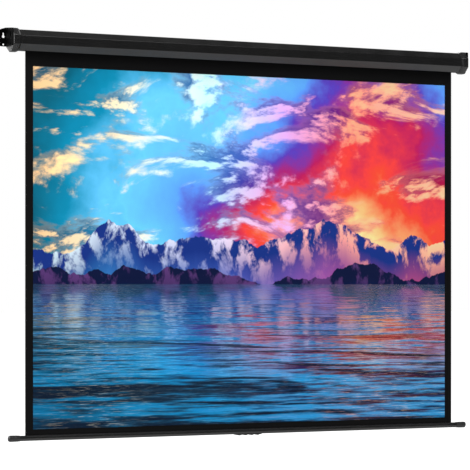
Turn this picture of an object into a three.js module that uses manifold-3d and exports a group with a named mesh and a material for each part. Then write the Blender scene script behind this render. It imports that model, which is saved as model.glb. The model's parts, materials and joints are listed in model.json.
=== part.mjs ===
// A manual pull-down projection screen for a wall: a slotted steel case with end caps and wall brackets,
// a spring roller with a pawl lock, the screen fabric, and a weight bar with a pull handle.
// Lengths are in millimetres. X runs along the screen, Y points to the wall and Z points up.
// The origin is the middle of the case's flat back, which lies against the wall.
import * as THREE from "three";
import { mergeVertices } from "three/addons/utils/BufferGeometryUtils.js";
import Module from "manifold-3d";

const wasm = await Module();
wasm.setup();

// Fits
const seatGap = 0.3; // left between two pieces where one rests on or fits in the other
const runningGap = 0.4; // left where one piece turns on or in another
const overrun = 5; // how far a cutting body runs past what it cuts
const weldDistance = 1e-5; // corners closer than this are one

// Screen fabric, drawn right down: 84 inch diagonal at 4:3
const viewWidth = 1707;
const viewHeight = 1280;
const sideBorder = 30;
const topDrop = 52; // black between the case and the picture
const bottomBorder = 21; // black between the picture and the weight bar
const sheetThickness = 0.5;
const coatThickness = 0.3;

// Case, a roll-formed steel section with eight facets
const caseHeight = 74;
const caseDepth = 76;
const caseWall = 1.2;
const flatHeight = 30; // upright flats at the front and the back
const upperRun = 18; // depth taken by each upper facet
const frontLowerRun = 23; // depth taken by the lower front facet
const backLowerRun = 33; // depth taken by the lower back facet
const slotWidth = 11;
const slotLead = 1.2; // the slot's middle stands this far in front of the fabric
const lipHeight = 4; // edges of the slot, turned up inside

// End caps, moulded covers that slip over the case
const capReach = 56; // from the fabric's edge to the cap's outer face
const capPlate = 3;
const capSkirt = 28; // length of the whole cap
const capTaper = 8; // its sloping inner edge
const capProud = 5; // how far it stands out round the case
const capTaperProud = 1.2; // what is left of that at the thin edge
const capEdge = 1.5; // softened edge round the outer face
const capGrooveInset = 17; // a shallow groove round the skirt, from the outer face
const capGrooveWidth = 4.5;
const capGrooveDepth = 0.8;

// Wall brackets, L plates with the same holes in both flanges
const bracketPlate = 2;
const bracketTop = 47; // at the bend, above the origin
const bracketHeight = 67;
const wallFlange = 24;
const wallFlangeFall = 7; // how far its top edge falls from the bend
const sideFlange = 74;
const sideFlangeFall = 7;
const flangeCorner = 6;
const keyholeRadius = 4.9;
const keyholeDrop = 32; // round part below the bracket's top
const keySlotWidth = 5;
const keySlotRise = 11; // centre of the slot's top end above the round part's centre
const fixingHoleRadius = 3.2;
const fixingHoleDrop = 60;
const wallHoleInset = 9.5; // hole centres from the cap, on the wall flange
const sideHoleInset = 51.5; // hole centres from the wall, on the side flange

// Saddle plates inside the caps, and the screws that clamp plate, cap and bracket together
const saddlePlate = 3;
const saddleLength = 52;
const saddleHeight = 26;
const saddleForward = 6; // the plate's middle stands this far in front of the roller's axis
const bracketScrewSpacing = 40;
const bracketScrewRadius = 2;
const bracketScrewHeadRadius = 3.75;
const bracketScrewHead = 2.5;

// Screws that hold each cap on the case's top flat
const capScrewSpacing = 22;
const capScrewInset = 14; // from the cap's outer face
const capScrewRadius = 1.7;
const capScrewHeadRadius = 3.5;
const capScrewHead = 2.2;
const capScrewBelow = 4; // length below the case's sheet

// Roller: its axis, tube and the fabric's safety wraps
const rollerSetback = 26; // from the wall
const rollerRise = 3; // above the origin
const tubeRadius = 16;
const tubeWall = 1.2;
const tubeOverhang = 19.5; // past the fabric's edge
const wrapThickness = 0.8;

// Roller plugs
const plugFlangeRadius = 20;
const plugFlange = 8;
const plugDepth = 30; // inside the tube
const spigotLength = 8; // seats the spring's end curls
const idleFlange = 4;
const idleFlangeRadius = 17;

// Spring spindle, its collar and the idle axle pin
const spindleRadius = 4;
const tangWidth = 5;
const tangLength = 7;
const collarLength = 12;
const idlePinBite = 24; // length inside its plug
const bushRadius = 7;
const bushFlangeRadius = 9;
const bushFlange = 2;
const bushInward = 6; // how far the bush stands in from its plate, its flange included

// Torsion spring
const springRadius = 10; // to the middle of the wire
const springWireRadius = 0.9;
const springLength = 310;
const springCurls = 28;
const springStepsPerCurl = 8;
const springSides = 5;

// Pawl lock: a fixed disc with notches, and two pawls on the turning plug
const ratchetRadius = 11;
const ratchetThickness = 5;
const ratchetStandoff = 1.7; // from the plug's flange
const notchCount = 4;
const notchRoom = 0.5; // round a pawl that has dropped in
const pawlCircleRadius = 16; // pivots, round the roller's axis
const pawlLength = 11; // pivot to nose
const pawlThickness = 4;
const pawlWidth = 3.2;
const pawlEyeRadius = 3;
const pawlPinRadius = 1.5;
const pawlPinBite = 6.3; // length inside the plug's flange
const pawlPinHeadRadius = 2.6;
const pawlPinHead = 1;
const pawlDropAngle = THREE.MathUtils.degToRad(55.6); // below the tangent, dropped into a notch
const pawlSwing = THREE.MathUtils.degToRad(22); // from there out to its stop
const ringRadius = 7;
const ringThickness = 1.3;

// Weight bar, an extrusion with a channel for the hem rod and a grooved front
const barHeight = 19;
const barDepth = 14;
const barChamferRun = 3;
const barChamferDrop = 3.5;
const barSlotWidth = 2.4;
const barLip = 1.6; // metal over the hem channel
const channelWidth = 6.2;
const channelHeight = 6.2;
const chamberWidth = 8.4;
const chamberHeight = 6.4;
const barFloor = 1.7; // metal under the lower chamber
const grooveTop = 7; // below the bar's top
const grooveHeight = 3.5;
const grooveDepth = 1.2;
const grooveSlope = 0.6;
const hemRodRadius = 2.5;
const hemRodInset = 2; // from the fabric's edge

// Caps on the bar's ends
const barCapReach = 65; // from the fabric's edge to the cap's tip
const barCapLength = 44;
const barCapBite = 25.5; // length of the bar inside its cap
const barCapTaper = 16;
const barCapProud = 1.8;
const barCapThinProud = 0.9;
const barCapNose = 8.5; // rounded tip
const barCapBrowShare = 1 / 3; // where the tip steepens, of its length and of how far the cap stands out
const barCapTipInset = 2; // the tip's flat inside the bar's outline

// Pull handle, a moulded grip under and behind the bar
const handleWidth = 108;
const handleForward = 5.5; // in front of the bar's middle
const handleBack = 15.5; // behind the bar's middle
const handleBelow = 4.6; // under the bar
const handleRise = 14; // up the bar's back, from its underside
const fingerPitch = 25;
const fingerCount = 5;
const fingerRadius = 16.9;
const underFingerDepth = 2.6;
const rearFingerDepth = 3.4;
const handleScrewRadius = 1.5;
const handleScrewHeadRadius = 3;
const handleScrewHead = 1.8;
const handleScrewInside = 3; // length inside the bar

// Segments round curved faces
const roundSteps = 28;
const smallSteps = 12;
const arcSteps = 6;

// Places that follow from the sizes
const fabricHalf = viewWidth / 2 + sideBorder;
const capOuterX = fabricHalf + capReach;
const capInnerX = capOuterX - capPlate;
const saddleOuterX = capInnerX - seatGap;
const saddleInnerX = saddleOuterX - saddlePlate;
const caseHalf = capInnerX - seatGap;
const caseBottom = -caseHeight / 2;
const rollerY = -rollerSetback;
const wrapInnerRadius = tubeRadius + seatGap;
const wrapOuterRadius = wrapInnerRadius + wrapThickness;
const sheetBackY = rollerY - wrapOuterRadius - seatGap;
const sheetFrontY = sheetBackY - sheetThickness;
const coatFrontY = sheetFrontY - coatThickness;
const sheetMidY = sheetBackY - sheetThickness / 2;
const slotMidY = sheetMidY - slotLead;
const viewTopZ = caseBottom - topDrop;
const viewBottomZ = viewTopZ - viewHeight;
const barTopZ = viewBottomZ - bottomBorder;
const barCapTipX = fabricHalf + barCapReach;
const barCapStartX = barCapTipX - barCapLength;
const barHalfLength = barCapStartX + barCapBite;
const tubeHalf = fabricHalf + tubeOverhang;
const plugOuterX = tubeHalf + seatGap + plugFlange;
const plugInnerX = tubeHalf - plugDepth;
const ratchetInnerX = plugOuterX + ratchetStandoff;
const ratchetOuterX = ratchetInnerX + ratchetThickness;
const plugBoreRadius = spindleRadius + runningGap;
const plugBodyRadius = tubeRadius - tubeWall - seatGap;
const springChordRadius = springRadius * Math.cos(Math.PI / springStepsPerCurl);
const spigotRadius = springChordRadius - springWireRadius - seatGap;
const springOuterX = plugInnerX - seatGap;
const springInnerX = springOuterX - springLength;
const collarX = springInnerX - seatGap - collarLength;

const steelBlack = { color: 0x1c1c1e, roughness: 0.45, metalness: 0.5 };
const plasticBlack = { color: 0x17171a, roughness: 0.55, metalness: 0 };
const steelBright = { color: 0xa8abb0, roughness: 0.35, metalness: 0.9 };
const fabricBlack = { color: 0x0c0c0d, roughness: 0.9, metalness: 0 };
const fabricWhite = { color: 0xf1f1ef, roughness: 0.85, metalness: 0 };
const aluminiumBlack = { color: 0x2a2a2d, roughness: 0.4, metalness: 0.6 };
const acetalWhite = { color: 0xdedcd4, roughness: 0.5, metalness: 0 };

// A copy with only its positions, each corner there once
function welded(geometry) {
  const bare = geometry.clone();
  bare.deleteAttribute("normal");
  bare.deleteAttribute("uv");
  return mergeVertices(bare, weldDistance);
}

// Bodies from geometries, and back
function solidOf(geometry) {
  const merged = welded(geometry);
  const vertProperties = new Float32Array(merged.attributes.position.array);
  const triVerts = new Uint32Array(merged.index.array);
  return new wasm.Manifold(new wasm.Mesh({ numProp: 3, vertProperties, triVerts }));
}

function geometryOf(solid) {
  const mesh = solid.getMesh();
  const geometry = new THREE.BufferGeometry();
  geometry.setAttribute("position", new THREE.BufferAttribute(new Float32Array(mesh.vertProperties), 3));
  geometry.setIndex(new THREE.BufferAttribute(new Uint32Array(mesh.triVerts), 1));
  geometry.computeVertexNormals();
  return geometry;
}

function cutBy(body, tools) {
  return geometryOf(tools.reduce((solid, tool) => solid.subtract(solidOf(tool)), solidOf(body)));
}

function joined(first, second) {
  return geometryOf(solidOf(first).add(solidOf(second)));
}

// The same body on the other side of the plane X = 0, with its faces still pointing out
function mirroredX(geometry) {
  const copy = welded(geometry);
  copy.applyMatrix4(new THREE.Matrix4().makeScale(-1, 1, 1));
  const index = copy.index.array;
  for (let k = 0; k < index.length; k += 3) {
    [index[k + 1], index[k + 2]] = [index[k + 2], index[k + 1]];
  }
  copy.computeVertexNormals();
  return copy;
}

// A closed body through rings of equal count: quads between neighbours and a fan on each end.
// Each ring runs anticlockwise seen from +X, and the rings follow each other along +X.
function loft(rings) {
  const count = rings[0].length;
  const index = [];
  for (let ring = 0; ring + 1 < rings.length; ring++) {
    for (let k = 0; k < count; k++) {
      const a = ring * count + k;
      const b = ring * count + ((k + 1) % count);
      index.push(a, b, b + count, a, b + count, a + count);
    }
  }
  const last = (rings.length - 1) * count;
  for (let k = 1; k + 1 < count; k++) {
    index.push(0, k + 1, k, last, last + k, last + k + 1);
  }
  const geometry = new THREE.BufferGeometry();
  geometry.setAttribute("position", new THREE.Float32BufferAttribute(rings.flat(2), 3));
  geometry.setIndex(index);
  geometry.computeVertexNormals();
  return geometry;
}

function block(x0, x1, y0, y1, z0, z1) {
  const ring = (x) => [[x, y0, z0], [x, y1, z0], [x, y1, z1], [x, y0, z1]];
  return loft([ring(x0), ring(x1)]);
}

// A flat shape drawn in Y and Z, carried along X
function alongX(shape, x0, x1) {
  const settings = { depth: x1 - x0, bevelEnabled: false, curveSegments: arcSteps };
  const geometry = new THREE.ExtrudeGeometry(shape, settings);
  const turn = new THREE.Matrix4().makeBasis(
    new THREE.Vector3(0, 1, 0),
    new THREE.Vector3(0, 0, 1),
    new THREE.Vector3(1, 0, 0),
  );
  return geometry.applyMatrix4(turn).translate(x0, 0, 0);
}

// A flat shape drawn in X and Z, carried along Y
function alongY(shape, y0, y1) {
  const settings = { depth: y1 - y0, bevelEnabled: false, curveSegments: arcSteps };
  const geometry = new THREE.ExtrudeGeometry(shape, settings);
  return geometry.rotateX(Math.PI / 2).translate(0, y1, 0);
}

// A profile of [x, radius] pairs turned round the X axis
function turned(profile, steps = roundSteps) {
  const points = profile.map(([x, radius]) => new THREE.Vector2(radius, x));
  return new THREE.LatheGeometry(points, steps).rotateZ(-Math.PI / 2);
}

function ringX(innerRadius, outerRadius, x0, x1, steps) {
  const start = [x0, innerRadius];
  return turned([start, [x0, outerRadius], [x1, outerRadius], [x1, innerRadius], start], steps);
}

function rodX(radius, x0, x1, steps) {
  return turned([[x0, 0], [x0, radius], [x1, radius], [x1, 0]], steps);
}

function rodZ(radius, x, y, z0, z1, steps = smallSteps) {
  return rodX(radius, z0, z1, steps).rotateY(-Math.PI / 2).translate(x, y, 0);
}

function rodY(radius, x, y0, y1, z, steps = smallSteps) {
  return rodX(radius, y0, y1, steps).rotateZ(Math.PI / 2).translate(x, 0, z);
}

// A convex anticlockwise outline with each edge moved outwards by distanceOf(edge number)
function offsetOutline(points, distanceOf) {
  const edges = points.map((point, k) => {
    const direction = points[(k + 1) % points.length].clone().sub(point).normalize();
    const outward = new THREE.Vector2(direction.y, -direction.x);
    return { origin: point.clone().addScaledVector(outward, distanceOf(k)), direction };
  });
  return edges.map((edge, k) => {
    const before = edges[(k + edges.length - 1) % edges.length];
    const across = edge.origin.clone().sub(before.origin);
    const along = across.cross(edge.direction) / before.direction.cross(edge.direction);
    return before.origin.clone().addScaledVector(before.direction, along);
  });
}

function ringAt(x, points) {
  return points.map((point) => [x, point.x, point.y]);
}

// The case's outline in Y and Z, anticlockwise from its lower front corner. Edge 2 is the flat back.
const backEdge = 2;

function caseOutline() {
  return [
    new THREE.Vector2(-caseDepth + frontLowerRun, caseBottom),
    new THREE.Vector2(-backLowerRun, caseBottom),
    new THREE.Vector2(0, -flatHeight / 2),
    new THREE.Vector2(0, flatHeight / 2),
    new THREE.Vector2(-upperRun, caseHeight / 2),
    new THREE.Vector2(-caseDepth + upperRun, caseHeight / 2),
    new THREE.Vector2(-caseDepth, flatHeight / 2),
    new THREE.Vector2(-caseDepth, -flatHeight / 2),
  ];
}

function capScrewPlaces() {
  const midY = -caseDepth / 2;
  return [midY - capScrewSpacing / 2, midY + capScrewSpacing / 2];
}

function caseShell() {
  const outer = caseOutline();
  const inner = offsetOutline(outer, () => -caseWall);
  const frontLip = slotMidY - slotWidth / 2;
  const backLip = slotMidY + slotWidth / 2;
  const lipTop = caseBottom + lipHeight;
  const floor = caseBottom + caseWall;
  const section = [
    new THREE.Vector2(backLip, lipTop),
    new THREE.Vector2(backLip, caseBottom),
    ...outer.slice(1),
    outer[0],
    new THREE.Vector2(frontLip, caseBottom),
    new THREE.Vector2(frontLip, lipTop),
    new THREE.Vector2(frontLip - caseWall, lipTop),
    new THREE.Vector2(frontLip - caseWall, floor),
    inner[0],
    ...inner.slice(1).reverse(),
    new THREE.Vector2(backLip + caseWall, floor),
    new THREE.Vector2(backLip + caseWall, lipTop),
  ];
  const screwX = capOuterX - capScrewInset;
  const holes = [-screwX, screwX].flatMap((x) => capScrewPlaces().map((y) =>
    rodZ(capScrewRadius + seatGap, x, y, caseHeight / 2 - caseWall - overrun, caseHeight / 2 + overrun)));
  return cutBy(alongX(new THREE.Shape(section), -caseHalf, caseHalf), holes);
}

// Screw centres on the saddle plates, as distances in Y
function bracketScrewPlaces() {
  const midY = rollerY - saddleForward;
  return [midY - bracketScrewSpacing / 2, midY + bracketScrewSpacing / 2];
}

// The right-hand end cap: a plate with a skirt round the case, open at the back
function endCap() {
  const skin = (x, proud) => ringAt(x, offsetOutline(caseOutline(), (k) => (k === backEdge ? 0 : proud)));
  const innerX = capOuterX - capSkirt;
  const grooveX = capOuterX - capGrooveInset;
  const shell = loft([
    skin(innerX, capTaperProud),
    skin(innerX + capTaper, capProud),
    skin(grooveX - capGrooveWidth / 2, capProud),
    skin(grooveX, capProud - capGrooveDepth),
    skin(grooveX + capGrooveWidth / 2, capProud),
    skin(capOuterX - capEdge, capProud),
    skin(capOuterX, capProud - capEdge),
  ]);
  const room = offsetOutline(caseOutline(), (k) => (k === backEdge ? overrun : seatGap));
  const cavity = loft([ringAt(innerX - overrun, room), ringAt(capInnerX, room)]);
  const plateHoles = bracketScrewPlaces().map((y) =>
    rodX(bracketScrewRadius + seatGap, capInnerX - overrun, capOuterX + overrun, smallSteps)
      .translate(0, y, rollerRise));
  const top = caseHeight / 2 + capProud;
  const screwX = capOuterX - capScrewInset;
  const screwHoles = capScrewPlaces().flatMap((y) => [
    rodZ(capScrewRadius + seatGap, screwX, y, caseHeight / 2 - overrun, top + overrun),
    rodZ(capScrewHeadRadius + seatGap, screwX, y, top - capScrewHead - seatGap, top + overrun),
  ]);
  return cutBy(shell, [cavity, ...plateHoles, ...screwHoles]);
}

function capScrew() {
  const top = caseHeight / 2 + capProud;
  const head = top - capScrewHead;
  const tip = caseHeight / 2 - caseWall - capScrewBelow;
  const profile = [[tip, 0], [tip, capScrewRadius], [head, capScrewRadius], [head, capScrewHeadRadius],
    [top, capScrewHeadRadius], [top, 0]];
  return turned(profile, smallSteps).rotateY(-Math.PI / 2);
}

// A flat outline through these corners, anticlockwise, with a radius for each corner
function roundedPlate(corners, radii) {
  const shape = new THREE.Shape();
  const points = corners.map(([x, y]) => new THREE.Vector2(x, y));
  points.forEach((corner, k) => {
    const back = points.at(k - 1).clone().sub(corner).normalize();
    const ahead = points[(k + 1) % points.length].clone().sub(corner).normalize();
    const half = Math.acos(back.dot(ahead)) / 2;
    const start = corner.clone().addScaledVector(back, radii[k] / Math.tan(half));
    const middle = back.clone().add(ahead).setLength(radii[k] / Math.sin(half)).add(corner);
    const from = start.clone().sub(middle).angle();
    if (k === 0) shape.moveTo(start.x, start.y);
    else shape.lineTo(start.x, start.y);
    if (radii[k] > 0) shape.absarc(middle.x, middle.y, radii[k], from, from + Math.PI - 2 * half, false);
  });
  shape.closePath();
  return shape;
}

// A keyhole with its slot upwards, and a round hole below it, as hole paths
function fixingHoles(centre) {
  const keyZ = bracketTop - keyholeDrop;
  const half = keySlotWidth / 2;
  const spread = Math.asin(half / keyholeRadius);
  const keyhole = new THREE.Path();
  keyhole.absarc(centre, keyZ, keyholeRadius, Math.PI / 2 + spread, Math.PI * 2.5 - spread, false);
  keyhole.absarc(centre, keyZ + keySlotRise, half, 0, Math.PI, false);
  keyhole.closePath();
  const round = new THREE.Path();
  round.absarc(centre, bracketTop - fixingHoleDrop, fixingHoleRadius, 0, Math.PI * 2, false);
  return [keyhole, round];
}

// The right-hand bracket: a side flange on the cap's outer face and a wall flange turned outwards
function wallBracket() {
  const inner = capOuterX + seatGap;
  const bottom = bracketTop - bracketHeight;
  const sideTop = bracketTop - sideFlangeFall;
  const sideCorners = [[-sideFlange, bottom], [0, bottom], [0, bracketTop], [-sideFlange, sideTop]];
  const side = roundedPlate(sideCorners, [flangeCorner, 0, 0, flangeCorner]);
  side.holes.push(...fixingHoles(-sideHoleInset));
  const edge = inner + wallFlange;
  const wallTop = bracketTop - wallFlangeFall;
  const wallCorners = [[inner, bottom], [edge, bottom], [edge, wallTop], [inner, bracketTop]];
  const wall = roundedPlate(wallCorners, [0, flangeCorner, flangeCorner, 0]);
  wall.holes.push(...fixingHoles(inner + wallHoleInset));
  const plates = joined(alongX(side, inner, inner + bracketPlate), alongY(wall, -bracketPlate, 0));
  const threads = bracketScrewPlaces().map((y) =>
    rodX(bracketScrewRadius + seatGap, inner - overrun, inner + overrun, smallSteps)
      .translate(0, y, rollerRise));
  return cutBy(plates, threads);
}

// A screw from inside the case, its tip flush with the bracket's outer face
function bracketScrew() {
  const underHead = saddleInnerX - seatGap;
  const tip = capOuterX + seatGap + bracketPlate;
  const head = underHead - bracketScrewHead;
  const profile = [[head, 0], [head, bracketScrewHeadRadius], [underHead, bracketScrewHeadRadius],
    [underHead, bracketScrewRadius], [tip, bracketScrewRadius], [tip, 0]];
  return turned(profile, smallSteps);
}

// The plate that carries the roller's end, drawn round the roller's axis at the right-hand end
function saddle(opening) {
  const midY = -saddleForward;
  const plate = block(saddleInnerX, saddleOuterX, midY - saddleLength / 2, midY + saddleLength / 2,
    -saddleHeight / 2, saddleHeight / 2);
  const holes = bracketScrewPlaces().map((y) =>
    rodX(bracketScrewRadius + seatGap, saddleInnerX - overrun, saddleOuterX + overrun, smallSteps)
      .translate(0, y - rollerY, 0));
  return cutBy(plate, [opening, ...holes]);
}

// Left: an upright slot that the spindle's tang drops into. Right: a round hole for the bush.
function tangSaddle() {
  const half = tangWidth / 2 + seatGap;
  const slot = block(saddleInnerX - overrun, saddleOuterX + overrun, -half, half,
    -spindleRadius - seatGap, saddleHeight / 2 + overrun);
  return mirroredX(saddle(slot));
}

function bushSaddle() {
  return saddle(rodX(bushRadius + seatGap, saddleInnerX - overrun, saddleOuterX + overrun, roundSteps));
}

function bearingBush() {
  const bore = spindleRadius + runningGap;
  const inner = saddleInnerX - bushInward;
  const shoulder = inner + bushFlange;
  const outer = saddleOuterX;
  const seat = saddleInnerX - seatGap;
  return turned([[inner, bore], [inner, bushRadius], [seat - bushFlange, bushRadius],
    [seat - bushFlange, bushFlangeRadius], [seat, bushFlangeRadius], [seat, bushRadius],
    [outer, bushRadius], [outer, bore], [shoulder, bore], [inner, bore]]);
}

// The rod that stays still: flats at its left end, the spring round it and the collar at its far end
function springSpindle() {
  const rod = rodX(spindleRadius, -saddleOuterX, -collarX);
  const flats = [-1, 1].map((side) => {
    const near = (side * tangWidth) / 2;
    const far = side * (spindleRadius + overrun);
    return block(-saddleOuterX - overrun, -saddleOuterX + tangLength,
      Math.min(near, far), Math.max(near, far),
      -spindleRadius - overrun, spindleRadius + overrun);
  });
  return cutBy(rod, flats);
}

function spindleCollar() {
  const bore = spindleRadius + seatGap;
  const body = tubeRadius - tubeWall - runningGap;
  const start = -springInnerX - spigotLength;
  const face = -springInnerX + seatGap;
  const end = -collarX;
  return turned([[start, bore], [start, spigotRadius], [face, spigotRadius], [face, body],
    [end, body], [end, bore], [start, bore]]);
}

// A round wire wound along X: x runs evenly while the angle turns springCurls times
function torsionSpring() {
  const steps = springCurls * springStepsPerCurl;
  const start = -springOuterX;
  const rise = (springLength - 2 * springWireRadius) / steps;
  const centres = [];
  const rings = [];
  for (let step = 0; step <= steps; step++) {
    const angle = (step * 2 * Math.PI) / springStepsPerCurl;
    const x = start + springWireRadius + rise * step;
    centres.push(new THREE.Vector3(x, springRadius * Math.cos(angle), springRadius * Math.sin(angle)));
    const ring = [];
    for (let side = 0; side < springSides; side++) {
      const turn = (side * 2 * Math.PI) / springSides;
      const reach = springRadius + springWireRadius * Math.cos(turn);
      ring.push([x - springWireRadius * Math.sin(turn), reach * Math.cos(angle), reach * Math.sin(angle)]);
    }
    rings.push(ring);
  }
  printLeastGap(centres);
  return loft(rings);
}

// The least gap between wire points that lie more than half a curl apart
function printLeastGap(centres) {
  let least = Infinity;
  for (let a = 0; a < centres.length; a++) {
    for (let b = a + springStepsPerCurl / 2; b < centres.length; b++) {
      least = Math.min(least, centres[a].distanceTo(centres[b]));
    }
  }
  console.log("torsion spring, least gap to itself in mm:", (least - 2 * springWireRadius).toFixed(2));
}

function rollerTube() {
  return ringX(tubeRadius - tubeWall, tubeRadius, -tubeHalf, tubeHalf);
}

function safetyWraps() {
  return ringX(wrapInnerRadius, wrapOuterRadius, -fabricHalf, fabricHalf);
}

function leftRollerPlug() {
  const outer = -plugOuterX;
  const shoulder = -tubeHalf - seatGap;
  const inner = -plugInnerX;
  const end = inner + spigotLength;
  const body = turned([[outer, plugBoreRadius], [outer, plugFlangeRadius], [shoulder, plugFlangeRadius],
    [shoulder, plugBodyRadius], [inner, plugBodyRadius], [inner, spigotRadius], [end, spigotRadius],
    [end, plugBoreRadius], [outer, plugBoreRadius]]);
  const holes = [1, -1].map((side) =>
    rodX(pawlPinRadius + seatGap, outer - overrun, outer + pawlPinBite + seatGap, smallSteps)
      .translate(0, 0, side * pawlCircleRadius));
  return cutBy(body, holes);
}

function rightRollerPlug() {
  const bore = spindleRadius + seatGap;
  const outer = tubeHalf + seatGap + idleFlange;
  const shoulder = tubeHalf + seatGap;
  return turned([[plugInnerX, 0], [plugInnerX, plugBodyRadius], [shoulder, plugBodyRadius],
    [shoulder, idleFlangeRadius], [outer, idleFlangeRadius], [outer, bore], [outer - idlePinBite, bore],
    [outer - idlePinBite, 0]]);
}

function idleAxlePin() {
  const outer = tubeHalf + seatGap + idleFlange;
  return rodX(spindleRadius, outer - idlePinBite + seatGap, saddleOuterX - seatGap);
}

// Where a dropped pawl lies, in Y and Z round the roller's axis: along runs from its pivot to its nose
function droppedPawl() {
  const along = new THREE.Vector2(Math.cos(pawlDropAngle), -Math.sin(pawlDropAngle));
  const outward = new THREE.Vector2(-along.y, along.x);
  return { pivot: new THREE.Vector2(0, pawlCircleRadius), along, outward };
}

function ratchetDisc() {
  const disc = ringX(spindleRadius + seatGap, ratchetRadius, -ratchetOuterX, -ratchetInnerX);
  const { pivot, along, outward } = droppedPawl();
  const place = (s, t) => pivot.clone().addScaledVector(along, s).addScaledVector(outward, t);
  const near = pawlEyeRadius;
  const far = pawlLength + notchRoom;
  const low = -pawlWidth / 2 - notchRoom;
  const high = pawlLength;
  const outline = new THREE.Shape([place(near, low), place(far, low), place(far, high), place(near, high)]);
  const notch = alongX(outline, -ratchetOuterX - overrun, -ratchetInnerX + overrun);
  const notches = [];
  for (let k = 0; k < notchCount; k++) {
    notches.push(notch.clone().rotateX((k * 2 * Math.PI) / notchCount));
  }
  return cutBy(disc, notches);
}

function retainingRing() {
  const inner = -ratchetOuterX - seatGap;
  return ringX(spindleRadius + seatGap, ringRadius, inner - ringThickness, inner, smallSteps);
}

// A pawl swung out to its stop, its pivot at the origin of the drawing
function pawl() {
  const shape = new THREE.Shape();
  const half = pawlWidth / 2;
  const spread = Math.asin(half / pawlEyeRadius);
  shape.absarc(0, 0, pawlEyeRadius, spread, 2 * Math.PI - spread, false);
  shape.lineTo(pawlLength, -half);
  shape.lineTo(pawlLength, half);
  shape.closePath();
  const eye = new THREE.Path();
  eye.absarc(0, 0, pawlPinRadius + seatGap, 0, 2 * Math.PI, false);
  shape.holes.push(eye);
  const middle = -(ratchetInnerX + ratchetOuterX) / 2;
  const body = alongX(shape, middle - pawlThickness / 2, middle + pawlThickness / 2);
  return body.rotateX(pawlSwing - pawlDropAngle).translate(0, 0, pawlCircleRadius);
}

function pawlPin() {
  const middle = -(ratchetInnerX + ratchetOuterX) / 2;
  const underHead = middle - pawlThickness / 2 - seatGap;
  const tip = -plugOuterX + pawlPinBite;
  return turned([[underHead - pawlPinHead, 0], [underHead - pawlPinHead, pawlPinHeadRadius],
    [underHead, pawlPinHeadRadius], [underHead, pawlPinRadius], [tip, pawlPinRadius], [tip, 0]], smallSteps)
    .translate(0, 0, pawlCircleRadius);
}

function screenBacking() {
  return block(-fabricHalf, fabricHalf, sheetFrontY, sheetBackY, barTopZ - barLip, rollerRise);
}

function viewingSurface() {
  return block(-viewWidth / 2, viewWidth / 2, coatFrontY, sheetFrontY, viewBottomZ, viewTopZ);
}

// The bar's outline without its groove and slot, anticlockwise, with its top at Z = 0
function barOutline() {
  const flat = barDepth / 2 - barChamferRun;
  return [
    new THREE.Vector2(-flat, -barHeight),
    new THREE.Vector2(flat, -barHeight),
    new THREE.Vector2(barDepth / 2, -barHeight + barChamferDrop),
    new THREE.Vector2(barDepth / 2, -barChamferDrop),
    new THREE.Vector2(flat, 0),
    new THREE.Vector2(-flat, 0),
    new THREE.Vector2(-barDepth / 2, -barChamferDrop),
    new THREE.Vector2(-barDepth / 2, -barHeight + barChamferDrop),
  ];
}

function handleScrewPlaces() {
  return [-fingerPitch / 2, fingerPitch / 2];
}

function weightBar() {
  const outline = barOutline();
  const slot = barSlotWidth / 2;
  const channel = channelWidth / 2;
  const channelFloor = -barLip - channelHeight;
  const front = -barDepth / 2;
  const shape = new THREE.Shape([
    ...outline.slice(0, 5),
    new THREE.Vector2(slot, 0),
    new THREE.Vector2(slot, -barLip),
    new THREE.Vector2(channel, -barLip),
    new THREE.Vector2(channel, channelFloor),
    new THREE.Vector2(-channel, channelFloor),
    new THREE.Vector2(-channel, -barLip),
    new THREE.Vector2(-slot, -barLip),
    new THREE.Vector2(-slot, 0),
    outline[5],
    outline[6],
    new THREE.Vector2(front, -grooveTop),
    new THREE.Vector2(front + grooveDepth, -grooveTop - grooveSlope),
    new THREE.Vector2(front + grooveDepth, -grooveTop - grooveHeight + grooveSlope),
    new THREE.Vector2(front, -grooveTop - grooveHeight),
    outline[7],
  ]);
  const chamberFloor = -barHeight + barFloor;
  shape.holes.push(new THREE.Path([
    new THREE.Vector2(-chamberWidth / 2, chamberFloor),
    new THREE.Vector2(-chamberWidth / 2, chamberFloor + chamberHeight),
    new THREE.Vector2(chamberWidth / 2, chamberFloor + chamberHeight),
    new THREE.Vector2(chamberWidth / 2, chamberFloor),
  ]));
  const holes = handleScrewPlaces().map((x) =>
    rodZ(handleScrewRadius + seatGap, x, 0, -barHeight - overrun,
      -barHeight + handleScrewInside + seatGap));
  return cutBy(alongX(shape, -barHalfLength, barHalfLength), holes);
}

function hemRod() {
  const half = fabricHalf - hemRodInset;
  return rodX(hemRodRadius, -half, half, smallSteps).translate(0, 0, -barLip - seatGap - hemRodRadius);
}

// The right-hand bar cap: a sleeve that swells from the bar to a rounded end
function barCap() {
  const skin = (x, proud) => ringAt(x, offsetOutline(barOutline(), () => proud));
  const shell = loft([
    skin(barCapStartX, barCapThinProud),
    skin(barCapStartX + barCapTaper, barCapProud),
    skin(barCapTipX - barCapNose, barCapProud),
    skin(barCapTipX - barCapNose * barCapBrowShare, barCapProud * barCapBrowShare),
    skin(barCapTipX, -barCapTipInset),
  ]);
  const room = offsetOutline(barOutline(), () => seatGap);
  const socket = loft([ringAt(barCapStartX - overrun, room), ringAt(barHalfLength + seatGap, room)]);
  return cutBy(shell, [socket]);
}

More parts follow.
